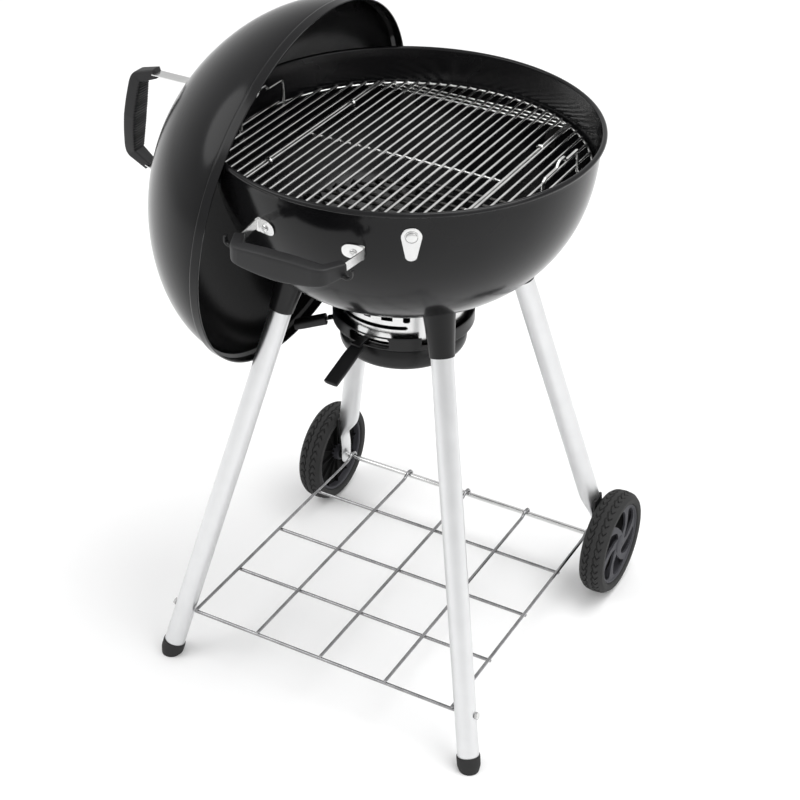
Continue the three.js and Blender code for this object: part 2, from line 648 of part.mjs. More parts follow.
// The room a grip takes with its gap, used to trim what meets its ends.
function gripRoomShape() {
  const g = GAP;
  const side = [
    [-84 - g, -40], [-60, -10 + g], [0, g], [60, -10 + g], [84 + g, -40], [74, -46 - g * 1.4],
    [52, -30 - g], [0, -23 - g], [-52, -30 - g], [-74, -46 - g * 1.4],
  ];
  return solid(place(slab(side, 60), vec(0, 0, 0), vec(0, -1, 0), X));
}
const gripRoom = solid(moved(gripRoomShape(), frameAt(X, Z, vec(0, -1, 0), vec(0, HANDLE.y, HANDLE.z))));

function buildBowlHandle() {
  const out = vec(0, -1, 0);
  const earTurn = THREE.MathUtils.radToDeg(Math.asin(HANDLE.ear / BOWL_R));
  part('bowl_grip', moved(gripShape(), frameAt(X, Z, out, vec(0, HANDLE.y, HANDLE.z))), 'plastic');
  [['left', -1], ['right', 1]].forEach(([name, side]) => {
    const low = HANDLE.z - 11;
    const high = HANDLE.z + 13;
    const middle = side * earTurn;
    const from = Math.min(middle - 3.4, middle + 3.4);
    const r = outerR(high) + 2.6;
    const inside = BOWL_R - 23;
    const face = [[inside, low], [outerR(low) + 2.6, low], [r, high], [inside, high]];
    const ear = turned(face, 3, fromFront(from), rad(6.8));
    const root = atAngle(fromFront(side * (earTurn + 2.6)), r - 1.2, 0);
    const tip = [side * 81.5, HANDLE.y + 42];
    const arm = ribbon([[root.x, root.y], tip], 2.4);
    const strip = slab(arm, high - low).translate(0, 0, (low + high) / 2);
    const bracket = solid(ear).add(solid(strip)).subtract(bowlKeepOut);
    part(`bowl_bracket_${name}`, bracket.subtract(gripRoom), 'steel');

    const angle = fromFront(middle);
    const screwTop = (HANDLE.z + SCREW_R - low) / (high - low);
    const seat = THREE.MathUtils.lerp(outerR(low), outerR(high), screwTop) + 2.6 + GAP;
    const screw = rod(atAngle(angle, seat, HANDLE.z), atAngle(angle, seat + 2.5, HANDLE.z), SCREW_R, 8);
    part(`bowl_screw_${name}`, screw, 'steel');

    const hook = ribbon([[side * 80, 0], [side * 93, -3], [side * 99, 2], [side * 99, 11]], 3);
    const wire = slab(hook, 3.4);
    place(wire, vec(0, HANDLE.y + 36, HANDLE.z - 5), out, X);
    part(`tool_hook_${name}`, solid(wire).subtract(gripRoom), 'black');
  });
}

function buildProbeCover() {
  const angle = fromFront(COVER.angle);
  const out = atAngle(angle, 1, 0);
  const line = (z) => outerR(COVER.low) + (outerR(COVER.high) - outerR(COVER.low))
    * (z - COVER.low) / (COVER.high - COVER.low);
  const bulge = Math.max(...outerLine.filter(([, z]) => z > COVER.low && z < COVER.high)
    .map(([r, z]) => r - line(z)), 0);
  const upward = vec(out.x * (outerR(COVER.high) - outerR(COVER.low)),
    out.y * (outerR(COVER.high) - outerR(COVER.low)), COVER.high - COVER.low).normalize();
  const normal = upward.clone().cross(Z.clone().cross(out)).normalize();
  const face = normal.dot(out) > 0 ? normal : normal.negate();
  const at = (z, lift) => atAngle(angle, line(z), z).addScaledVector(face, bulge + GAP + lift);
  const drop = COVER.boss - COVER.low;
  const rise = COVER.high - COVER.boss;
  const plate = [
    [COVER.narrow, -drop + 3], [COVER.wide, 0], [COVER.wide * 0.72, rise * 0.74], [0, rise],
    [-COVER.wide * 0.72, rise * 0.74], [-COVER.wide, 0], [-COVER.narrow, -drop + 3],
    [-COVER.narrow + 3, -drop], [COVER.narrow - 3, -drop],
  ];
  const sideways = upward.clone().cross(face);
  part('probe_cover', place(slab(plate, 1.6), at(COVER.boss, 0.8), face, sideways), 'steel');
  const boss = turned([[0, 0], [7, 0], [6, 2.2], [0, 3]], 12);
  part('probe_rivet', place(boss, at(COVER.boss, 1.6 + GAP), face, sideways), 'steel');
}

// ---------------------------------------------------------------- lid, hung by its hook on the bowl's rim
const tilt = rad(LID_AT.tilt);
const lidOut = vec(-Math.cos(tilt), 0, Math.sin(tilt)); // from the mouth to the pole
const lidUp = vec(Math.sin(tilt), 0, Math.cos(tilt));
const lidFrame = frameAt(lidUp, Y, lidOut, vec(LID_AT.x, 0, LID_AT.z));
const lidLine = (offset) => dish(LID_R + offset, LID_DEPTH + offset, LID_POWER, DISH)
  .map(([r, d]) => [r, LID_SKIRT + 3 + d]);

function buildLid() {
  const outer = lidLine(0);
  const inner = lidLine(-SHEET);
  const skirt = LID_SKIRT_R - SHEET;
  const outline = [
    [skirt, 0], [LID_SKIRT_R, 0], [LID_SKIRT_R, LID_SKIRT], ...outer.slice().reverse(),
    ...inner, [skirt, LID_SKIRT],
  ];
  const holes = damperHoles().map((at) => {
    const spot = damperFrame();
    return rod(vec(at[0], at[1], -25), vec(at[0], at[1], 25), DAMPER.hole, 10).applyMatrix4(spot);
  });
  const shell = cut(solid(turned(outline, ROUND)), holes);
  part('lid', moved(shell, lidFrame), 'enamel');

  const gripFrame = frameAt(X, Y, Z, vec(0, 0, LID_GRIP));
  part('lid_grip', moved(gripShape(), lidFrame.clone().multiply(gripFrame)), 'plastic');
  const room = moved(gripRoomShape(), gripFrame);
  [['upper', 1], ['lower', -1]].forEach(([name, side]) => {
    const foot = along(outer, 92);
    const path = [
      [side * 62, along(outer, 62) + 1.8], [side * 92, foot + 1.6], [side * 81, LID_GRIP - 40],
    ];
    const strip = place(slab(ribbon(path, 2.4), 22), vec(0, 0, 0), vec(0, -1, 0), X);
    const domed = turned([...lidLine(GAP), [0, 0]], ROUND);
    const bracket = cut(solid(strip), [room, domed]);
    part(`lid_bracket_${name}`, moved(bracket, lidFrame), 'steel');
  });
}

// ---- vent damper on the far side of the lid
// The damper's own frame in the lid's: Z outwards from the shell.
function damperFrame() {
  const line = lidLine(0);
  const base = vec(0, DAMPER.reach, along(line, DAMPER.reach));
  const slope = along(line, DAMPER.reach + DAMPER.radius) - along(line, DAMPER.reach - DAMPER.radius);
  const outward = vec(0, -slope, 2 * DAMPER.radius).normalize();
  return frameAt(X, outward.clone().cross(X), outward, base);
}

// How far the shell drops below its tangent at a distance from the damper's middle.
function dropAcross(reach) {
  const line = lidLine(0);
  const ends = along(line, DAMPER.reach + reach) + along(line, DAMPER.reach - reach);
  const rise = along(line, DAMPER.reach - reach) - along(line, DAMPER.reach + reach);
  return (along(line, DAMPER.reach) - ends / 2) * 2 * reach / Math.hypot(rise, 2 * reach);
}

const damperHoles = () => circle(0, 0, DAMPER.circle, DAMPER.holes);

function buildDamper() {
  const at = lidFrame.clone().multiply(damperFrame());
  const r = DAMPER.radius;
  const low = 1.4; // underside of the disc's middle above the shell
  const edge = low - dropAcross(r) - 0.6;
  const disc = turned([
    [0, low], [r / 2, low - 0.8], [r, edge], [r, edge + 1.5], [r / 2, low + 0.8], [0, low + 1.6],
  ], 20);
  const tab = box([-5, r - 8, low - 1.2], [5, r - 5, low + 11.8]);
  const holes = damperHoles().map(([a, b]) => rod(vec(a, b, -10), vec(a, b, 20), DAMPER.hole, 10));
  const body = cut(solid(disc).add(solid(tab)), holes);
  part('lid_damper', moved(body, at), 'aluminium');
  const seat = low + 1.6 + GAP;
  const rivet = turned([[0, seat], [6, seat], [5, seat + 1.9], [0, seat + 2.9]], 10);
  part('lid_rivet', moved(solid(rivet), at), 'steel');
}

function buildLidHook() {
  const rollX = -(RIM_R - ROLL_R);
  const top = RIM_Z + GAP + 1;
  const face = lidLine(-SHEET).map(([r, d]) => vec(r, 0, d).applyMatrix4(lidFrame)).map((p) => [p.x, p.z]);
  const wall = (z) => [along(face, z, 1, 0) + 1, z];
  const path = [wall(top + 44), wall(top + 22), wall(top), [rollX + 3.4, top], [rollX + 9.5, top - 6.1]];
  const strip = place(slab(ribbon(path, 2), HOOK_WIDTH), vec(0, 0, 0), vec(0, -1, 0), X);
  const dome = solid(moved(solid(turned([...lidLine(-SHEET - GAP), [0, 0]], ROUND)), lidFrame));
  part('lid_hook', solid(strip).intersect(dome), 'steel');
}

// ---------------------------------------------------------------- the whole grill
buildBowl();
buildUnderside();
buildSweeper();
buildCookingGrate();
buildGrateSupports();
buildCharcoalGrate();
buildLegs();
buildWheels();
buildShelf();
buildBowlHandle();
buildProbeCover();
buildLid();
buildDamper();
buildLidHook();

const bounds = new THREE.Box3().setFromObject(group);
const middle = bounds.getCenter(vec(0, 0, 0));
group.children.forEach((mesh) => mesh.geometry.translate(-middle.x, -middle.y, -bounds.min.z));

export default group;
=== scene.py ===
"""Looks of a kettle charcoal grill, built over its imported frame.

Sizes are in millimetres from the bowl's axis on the floor, and are turned into metres of the row
frame when a mesh is made. X runs along the wheel axle, -Y is the side with the bowl's handle.
"""

import json
import logging
import math
from dataclasses import dataclass, field
from enum import Enum
from typing import Callable, Sequence

import bmesh
import bpy
import numpy as np
from mathutils import Matrix, Vector

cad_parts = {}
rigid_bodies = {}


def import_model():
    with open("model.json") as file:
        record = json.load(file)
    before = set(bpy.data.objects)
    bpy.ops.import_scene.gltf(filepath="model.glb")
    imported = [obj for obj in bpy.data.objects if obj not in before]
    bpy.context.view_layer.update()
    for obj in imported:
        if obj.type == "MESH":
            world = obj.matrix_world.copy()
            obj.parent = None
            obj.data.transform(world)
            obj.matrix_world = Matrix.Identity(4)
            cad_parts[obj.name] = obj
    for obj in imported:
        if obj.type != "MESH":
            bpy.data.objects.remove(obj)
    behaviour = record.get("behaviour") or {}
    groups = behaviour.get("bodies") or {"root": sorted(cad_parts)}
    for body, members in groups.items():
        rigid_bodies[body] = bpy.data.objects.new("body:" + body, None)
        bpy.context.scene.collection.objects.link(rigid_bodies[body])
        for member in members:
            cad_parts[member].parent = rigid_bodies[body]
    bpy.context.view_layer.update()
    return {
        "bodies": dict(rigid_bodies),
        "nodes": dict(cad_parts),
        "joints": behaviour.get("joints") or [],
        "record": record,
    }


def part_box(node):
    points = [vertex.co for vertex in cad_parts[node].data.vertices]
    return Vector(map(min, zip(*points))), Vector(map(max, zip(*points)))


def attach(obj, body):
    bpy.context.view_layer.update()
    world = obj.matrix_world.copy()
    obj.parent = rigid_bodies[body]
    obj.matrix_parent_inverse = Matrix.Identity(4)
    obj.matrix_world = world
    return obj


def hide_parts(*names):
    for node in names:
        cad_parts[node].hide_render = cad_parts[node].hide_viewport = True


LOG = logging.getLogger("kettle_grill")
MM = 0.001
TAU = 2 * math.pi
Array = np.ndarray
X, Y, Z = np.eye(3)


# ---------------------------------------------------------------- finishes
class Pattern(Enum):
    """How the fine marks of a finish lie on the surface."""

    EVEN = "even"
    ALONG_X = "along_x"
    ALONG_Y = "along_y"
    ALONG_Z = "along_z"


STRETCH = {
    Pattern.EVEN: (1.0, 1.0, 1.0),
    Pattern.ALONG_X: (0.03, 1.0, 1.0),
    Pattern.ALONG_Y: (1.0, 0.03, 1.0),
    Pattern.ALONG_Z: (1.0, 1.0, 0.03),
}


@dataclass(frozen=True)
class Finish:
    """A surface finish: its colours, gloss and fine marks.

    The roughness and the colour wander with a broad noise, and a fine noise gives the bump.
    """

    name: str
    slot: str
    dark: tuple[float, float, float]
    light: tuple[float, float, float]
    rough: tuple[float, float]
    metallic: float = 0.0
    specular: float = 0.5
    coat: float = 0.0
    patches: float = 14.0
    grain: float = 900.0
    bump: float = 0.1
    depth_mm: float = 0.1
    pattern: Pattern = Pattern.EVEN

    def material(self) -> bpy.types.Material:
        """Gives the node material of this finish, made once.

        Returns:
            The material with this finish's name.
        """
        made = bpy.data.materials.get(self.name)
        if made:
            return made
        made = bpy.data.materials.new(self.name)
        made.use_nodes = True
        tree = made.node_tree
        shader = tree.nodes["Principled BSDF"]
        shader.inputs["Metallic"].default_value = self.metallic
        shader.inputs["Specular IOR Level"].default_value = self.specular
        shader.inputs["Coat Weight"].default_value = self.coat
        shader.inputs["Coat Roughness"].default_value = 0.04
        place = tree.nodes.new("ShaderNodeTexCoord")
        broad = self._noise(tree, place, self.patches, 3.0, (1.0, 1.0, 1.0))
        fine = self._noise(tree, place, self.grain, 4.0, STRETCH[self.pattern])

        colour = tree.nodes.new("ShaderNodeValToRGB")
        colour.color_ramp.elements[0].position = 0.3
        colour.color_ramp.elements[0].color = (*self.dark, 1)
        colour.color_ramp.elements[1].position = 0.7
        colour.color_ramp.elements[1].color = (*self.light, 1)
        tree.links.new(broad.outputs["Fac"], colour.inputs["Fac"])
        tree.links.new(colour.outputs["Color"], shader.inputs["Base Color"])

        both = tree.nodes.new("ShaderNodeMath")
        both.operation = "ADD"
        tree.links.new(broad.outputs["Fac"], both.inputs[0])
        tree.links.new(fine.outputs["Fac"], both.inputs[1])
        gloss = tree.nodes.new("ShaderNodeMapRange")
        gloss.inputs["From Min"].default_value = 0.6
        gloss.inputs["From Max"].default_value = 1.4
        gloss.inputs["To Min"].default_value = self.rough[0]
        gloss.inputs["To Max"].default_value = self.rough[1]
        tree.links.new(both.outputs["Value"], gloss.inputs["Value"])
        tree.links.new(gloss.outputs["Result"], shader.inputs["Roughness"])

        bump = tree.nodes.new("ShaderNodeBump")
        bump.inputs["Strength"].default_value = self.bump
        bump.inputs["Distance"].default_value = self.depth_mm * MM
        tree.links.new(fine.outputs["Fac"], bump.inputs["Height"])
        tree.links.new(bump.outputs["Normal"], shader.inputs["Normal"])
        return made

    @staticmethod
    def _noise(
        tree: bpy.types.NodeTree,
        place: bpy.types.Node,
        scale: float,
        detail: float,
        stretch: tuple[float, float, float],
    ) -> bpy.types.Node:
        """Adds a noise on the piece's own coordinates.

        Args:
            tree: The material's node tree.
            place: The texture coordinate node.
            scale: Waves per metre.
            detail: Octaves of finer noise.
            stretch: Factor on the scale along each axis.

        Returns:
            The noise node.
        """
        mapping = tree.nodes.new("ShaderNodeMapping")
        mapping.inputs["Scale"].default_value = stretch
        noise = tree.nodes.new("ShaderNodeTexNoise")
        noise.inputs["Scale"].default_value = scale
        noise.inputs["Detail"].default_value = detail
        tree.links.new(place.outputs["Object"], mapping.inputs["Vector"])
        tree.links.new(mapping.outputs["Vector"], noise.inputs["Vector"])
        return noise


ENAMEL = Finish(
    "gloss_enamel", "enamel", (0.0045, 0.0045, 0.005), (0.008, 0.008, 0.0085), (0.13, 0.2),
    specular=0.23, patches=9, grain=420, bump=0.05, depth_mm=0.12,
)
BLACK_METAL = Finish(
    "satin_black_metal", "black_metal", (0.005, 0.005, 0.0055), (0.01, 0.01, 0.0105), (0.24, 0.36),
    specular=0.3, grain=1600, bump=0.08,
)
BLACK_PLASTIC = Finish(
    "moulded_black_plastic", "black_plastic", (0.009, 0.009, 0.0095), (0.015, 0.015, 0.016),
    (0.4, 0.54), specular=0.35, grain=2400, bump=0.25,
)
HUB_PLASTIC = Finish(
    "hub_plastic", "hub_plastic", (0.028, 0.028, 0.031), (0.045, 0.045, 0.049), (0.32, 0.45),
    grain=2200, bump=0.18,
)
# Near-black, rough copy of the hub plastic: painted shade on the deep wall seen through the hub's windows.
HUB_PAINTED_SHADE = Finish(
    "hub_painted_shade", "hub_plastic", (0.002, 0.002, 0.002), (0.004, 0.004, 0.004), (0.7, 0.85),
    specular=0.15, grain=2200, bump=0.18,
)
TYRE_RUBBER = Finish(
    "tyre_rubber", "tyre_rubber", (0.011, 0.011, 0.011), (0.022, 0.021, 0.02), (0.6, 0.78),
    specular=0.4, patches=30, grain=1500, bump=0.3,
)
FOOT_RUBBER = Finish(
    "foot_rubber", "foot_rubber", (0.01, 0.01, 0.01), (0.018, 0.018, 0.018), (0.45, 0.6),
    specular=0.4, grain=1800, bump=0.2,
)
STEEL = Finish(
    "brushed_steel", "steel", (0.62, 0.62, 0.62), (0.74, 0.74, 0.735), (0.14, 0.3), metallic=1.0,
    patches=22, grain=1400, bump=0.12, depth_mm=0.04, pattern=Pattern.ALONG_X,
)
WIRE = Finish(
    "bright_wire", "wire", (0.66, 0.66, 0.655), (0.84, 0.84, 0.83), (0.1, 0.22), metallic=1.0,
    patches=40, grain=900, bump=0.06, depth_mm=0.04,
)
# A darkened copy of the bright wire: the shelf is the same plated wire, and its dark grey is painted dark
# reflection.
SHELF_WIRE_PAINTED_REFLECTION = Finish(
    "shelf_wire_painted_reflection", "wire", (0.24, 0.24, 0.245), (0.36, 0.36, 0.365), (0.12, 0.24), metallic=1.0,
    patches=40, grain=900, bump=0.06, depth_mm=0.04,
)
# A near-black copy of steel: painted shade on the grate supports deep in the bowl.
STEEL_PAINTED_SHADE = Finish(
    "steel_painted_shade", "steel", (0.02, 0.02, 0.02), (0.045, 0.044, 0.042), (0.35, 0.5), metallic=0.6,
    patches=30, grain=1000, bump=0.15,
)
IRON = Finish(
    "bare_steel_bar", "iron", (0.1, 0.098, 0.095), (0.22, 0.215, 0.21), (0.3, 0.48), metallic=1.0,
    patches=35, grain=1100, bump=0.25,
)
ALUMINIUM = Finish(
    "satin_aluminium", "aluminium", (0.68, 0.685, 0.69), (0.72, 0.725, 0.73), (0.3, 0.37),
    metallic=1.0, patches=26, grain=1500, bump=0.3, depth_mm=0.05, pattern=Pattern.ALONG_Z,
)


# ---------------------------------------------------------------- shape making
@dataclass
class Shape:
    """Grids of points gathered into one mesh, in millimetres from the bowl's axis."""

    points: list[Array] = field(default_factory=list)
    faces: list[Array] = field(default_factory=list)
    count: int = 0

    def grid(
        self,
        points: Array,
        wrap_u: bool = False,
        wrap_v: bool = False,
        keep: Array | None = None,
        caps: bool = False,
    ) -> "Shape":
        """Adds a grid surface.

        Args:
            points: Positions of shape (u, v, 3).
            wrap_u: The last row joins the first.
            wrap_v: The last column joins the first.
            keep: Truth of shape (rows of faces, columns of faces), where a face is made.
            caps: The first and last rows are closed with a flat face.

        Returns:
            This shape.
        """
        rows, cols = points.shape[:2]
        ids = self.count + np.arange(rows * cols).reshape(rows, cols)
        u = np.vstack([ids, ids[:1]]) if wrap_u else ids
        uv = np.hstack([u, u[:, :1]]) if wrap_v else u
        quads = np.stack([uv[:-1, :-1], uv[1:, :-1], uv[1:, 1:], uv[:-1, 1:]], axis=-1)
        if keep is not None:
            quads = quads[keep]
        self.faces.append(quads.reshape(-1, 4))
        if caps:
            self.faces += [ids[:1], ids[-1:, ::-1]]
        self.points.append(points.reshape(-1, 3))
        self.count += rows * cols
        return self

    def merge(self, other: "Shape") -> "Shape":
        """Adds another shape's grids and gives this shape."""
        self.points += other.points
        self.faces += [block + self.count for block in other.faces]
        self.count += other.count
        return self

    def moved(self, frame: Array) -> "Shape":
        """Gives this shape carried by a 4x4 frame."""
        for i, points in enumerate(self.points):
            self.points[i] = points @ frame[:3, :3].T + frame[:3, 3]
        return self


def unit(v: Array) -> Array:
    """Gives vectors of length one along the last axis."""
    return v / np.linalg.norm(v, axis=-1, keepdims=True)


def frame_of(x: Array, y: Array, z: Array, origin: Sequence[float]) -> Array:
    """Gives the 4x4 frame with these axes and origin."""
    frame = np.eye(4)
    frame[:3, 0], frame[:3, 1], frame[:3, 2], frame[:3, 3] = x, y, z, origin
    return frame


def rounded(corners: Sequence[Sequence[float]], radius: float, steps: int = 6) -> Array:
    """Rounds the corners of a path.

    Each corner is replaced by points of the quadratic curve that leaves one side and joins the
    other at the given distance from the corner, or at under half of the shorter side.

    Args:
        corners: Points of the path.
        radius: Distance from a corner at which its curve starts.
        steps: Points on each curve.

    Returns:
        The points of the rounded path.
    """
    p = np.asarray(corners, float)
    before, here, after = p[:-2], p[1:-1], p[2:]
    near = np.linalg.norm(before - here, axis=1)
    far = np.linalg.norm(after - here, axis=1)
    cut = np.minimum(radius, 0.48 * np.minimum(near, far))[:, None]
    start = here + unit(before - here) * cut
    end = here + unit(after - here) * cut
    t = np.linspace(0, 1, steps)[None, :, None]
    bend = (1 - t) ** 2 * start[:, None] + 2 * t * (1 - t) * here[:, None] + t**2 * end[:, None]
    return np.vstack([p[:1], bend.reshape(-1, p.shape[1]), p[-1:]])


def smooth(values: Sequence[Sequence[float]], count: int) -> Array:
    """Passes a smooth curve through a few rows of values.

    It is the Catmull-Rom curve: each span is a cubic whose slope at a row is half of the step
    between the rows either side of it.

    Args:
        values: Rows to pass through.
        count: Rows to give.

    Returns:
        The rows along the curve.
    """
    p = np.asarray(values, float)
    padded = np.vstack([2 * p[0] - p[1], p, 2 * p[-1] - p[-2]])
    s = np.linspace(0, len(p) - 1, count)
    i = np.minimum(s.astype(int), len(p) - 2)
    t = (s - i)[:, None]
    a, b, c, d = (padded[i + k] for k in range(4))
    return 0.5 * (
        2 * b + (c - a) * t + (2 * a - 5 * b + 4 * c - d) * t**2 + (3 * b - a - 3 * c + d) * t**3
    )


def sweep(
    path: Array,
    hint: Array,
    half_a: float | Array,
    half_b: float | Array,
    power: float = 2.0,
    sides: int = 14,
    closed: bool = False,
    relief: Callable[[Array, Array], Array] | None = None,
    round_end: float = 0.0,
) -> Shape:
    """Carries a section along a path.

    The section is a superellipse, |a / half_a|^power + |b / half_b|^power = 1, with its first
    axis as near the hint as it can be and its second across both that and the path.

    Args:
        path: Points of shape (n, 3).
        hint: The direction that the section's first axis follows.
        half_a: Half size along the first axis, or one for each point.
        half_b: Half size along the second axis, or one for each point.
        power: 2 is an ellipse, more is boxier.
        sides: Points round the section.
        closed: The path is a loop.
        relief: Factor on the second axis from the share of the path and the section's angle.
        round_end: Length over which each end is rounded off.

    Returns:
        The swept shape.
    """
    n = len(path)
    half_a = np.broadcast_to(np.asarray(half_a, float), n)
    half_b = np.broadcast_to(np.asarray(half_b, float), n)
    if round_end and not closed:
        steps = np.sin(np.linspace(0, math.pi / 2, 6))[:-1]
        shrink = np.sqrt(1 - (1 - steps) ** 2) * 0.999 + 0.001
        way_in, way_out = unit(path[1] - path[0]), unit(path[-1] - path[-2])
        first = path[0] + (steps * round_end)[:, None] * way_in
        last = path[-1] - (steps[::-1] * round_end)[:, None] * way_out
        start = path[0] + way_in * round_end
        end = path[-1] - way_out * round_end
        path = np.vstack([first, start, path[1:-1], end, last])
        half_a = np.concatenate([half_a[0] * shrink, half_a, half_a[-1] * shrink[::-1]])
        half_b = np.concatenate([half_b[0] * shrink, half_b, half_b[-1] * shrink[::-1]])
    if closed:
        along = unit(np.roll(path, -1, axis=0) - np.roll(path, 1, axis=0))
    else:
        along = unit(np.gradient(path, axis=0))
    first_axis = unit(hint - (along @ hint)[:, None] * along)
    second_axis = np.cross(along, first_axis)
    turn = np.linspace(0, TAU, sides, endpoint=False)
    a = np.sign(np.cos(turn)) * np.abs(np.cos(turn)) ** (2 / power)
    b = np.sign(np.sin(turn)) * np.abs(np.sin(turn)) ** (2 / power)
    scale = np.ones((len(path), sides))
    if relief:
        share = np.linspace(0, 1, len(path))[:, None]
        scale = relief(share, turn[None, :])
    points = (
        path[:, None]
        + (half_a[:, None] * a)[..., None] * first_axis[:, None]
        + (half_b[:, None] * b * scale)[..., None] * second_axis[:, None]
    )
    return Shape().grid(points, wrap_u=closed, wrap_v=True, caps=not closed)


def wire(corners: Sequence[Sequence[float]], radius: float, bend: float = 0.0, sides: int = 12) -> Shape:
    """Bends a round wire along corners, with its ends chamfered.

    Args:
        corners: Points of the wire's middle line.
        radius: Radius of the wire.
        bend: Distance from each corner at which its curve starts.
        sides: Points round the wire.

    Returns:
        The wire.
    """
    path = rounded(corners, bend) if bend and len(corners) > 2 else np.asarray(corners, float)
    run = path[-1] - path[0]
    spread = np.ptp(path, axis=0)
    hint = np.eye(3)[int(np.argmin(spread + 0.01 * np.abs(run)))]
    return sweep(path, hint, radius, radius, sides=sides, round_end=radius * 0.6)


def lathe(outline: Array, steps: int, start: float = 0.0, stop: float = TAU, closed: bool = False) -> Shape:
    """Turns an outline of [radius, height] about Z.

    Args:
        outline: Rows of radius and height.
        steps: Faces round the turn.
        start: First angle from +X.
        stop: Last angle from +X.
        closed: The outline's last row joins its first.

    Returns:
        The turned shape.
    """
    full = abs(stop - start - TAU) < 1e-9
    angle = np.linspace(start, stop, steps + (0 if full else 1), endpoint=not full)
    r, z = outline[:, 0, None], outline[:, 1, None]
    points = np.stack(np.broadcast_arrays(r * np.cos(angle), r * np.sin(angle), z), axis=-1)
    return Shape().grid(points, wrap_u=closed, wrap_v=full)


def dish(radius: float, depth: float, power: float, steps: int) -> Array:
    """Gives the side view of a dished shell from its pole to its rim.

    Each row is [radius x sin(t)^(2/power), depth x cos(t)^(2/power)] with t from 0 to 90 degrees,
    which is the superellipse (r / radius)^power + (d / depth)^power = 1.
    """
    t = np.linspace(0, math.pi / 2, steps + 1)
    return np.stack([radius * np.sin(t) ** (2 / power), depth * np.cos(t) ** (2 / power)], axis=1)


# ---------------------------------------------------------------- workshop
@dataclass
class Workshop:
    """Makes the meshes, and says which body each rides on and which nodes it stands for."""

    axis: tuple[float, float]
    made: int = 0

    def piece(
        self,
        name: str,
        shape: Shape,
        finish: Finish,
        body: str,
        stands_for: Sequence[str] = (),
        wall: float = 0.0,
        bevel: float = 0.0,
        sharp: float = 35.0,
    ) -> bpy.types.Object:
        """Makes one finished piece.

        Args:
            name: The piece's name.
            shape: Its surface, in millimetres from the bowl's axis.
            finish: Its finish.
            body: The body it rides on.
            stands_for: The nodes that it replaces.
            wall: Thickness given to an open sheet, half on each side.
            bevel: Width of the softened edges.
            sharp: Edges above this angle in degrees stay crisp.

        Returns:
            The object.
        """
        points = np.vstack(shape.points) * MM + np.array([*self.axis, 0.0])
        mesh = bpy.data.meshes.new(name)
        faces = [face for block in shape.faces for face in block.tolist()]
        mesh.from_pydata(points.tolist(), [], faces)
        work = bmesh.new()
        work.from_mesh(mesh)
        bmesh.ops.remove_doubles(work, verts=work.verts, dist=2e-6)
        bmesh.ops.recalc_face_normals(work, faces=work.faces)
        loose = [v for v in work.verts if not v.link_faces]
        bmesh.ops.delete(work, geom=loose, context="VERTS")
        work.to_mesh(mesh)
        work.free()
        mesh.shade_smooth()
        mesh.set_sharp_from_angle(angle=math.radians(sharp))
        thing = bpy.data.objects.new(name, mesh)
        bpy.context.scene.collection.objects.link(thing)
        mesh.materials.append(finish.material())
        if wall:
            solid = thing.modifiers.new("wall", "SOLIDIFY")
            solid.thickness = wall * MM
            solid.offset = 0
            solid.use_even_offset = True
        if bevel:
            edge = thing.modifiers.new("edge", "BEVEL")
            edge.width = bevel * MM
            edge.segments = 2
            edge.limit_method = "ANGLE"
            edge.angle_limit = math.radians(40)
            edge.harden_normals = True
        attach(thing, body)
        if stands_for:
            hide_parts(*stands_for)
        self.made += 1
        LOG.info("%s on %s, %d faces", name, body, len(mesh.polygons))
        return thing


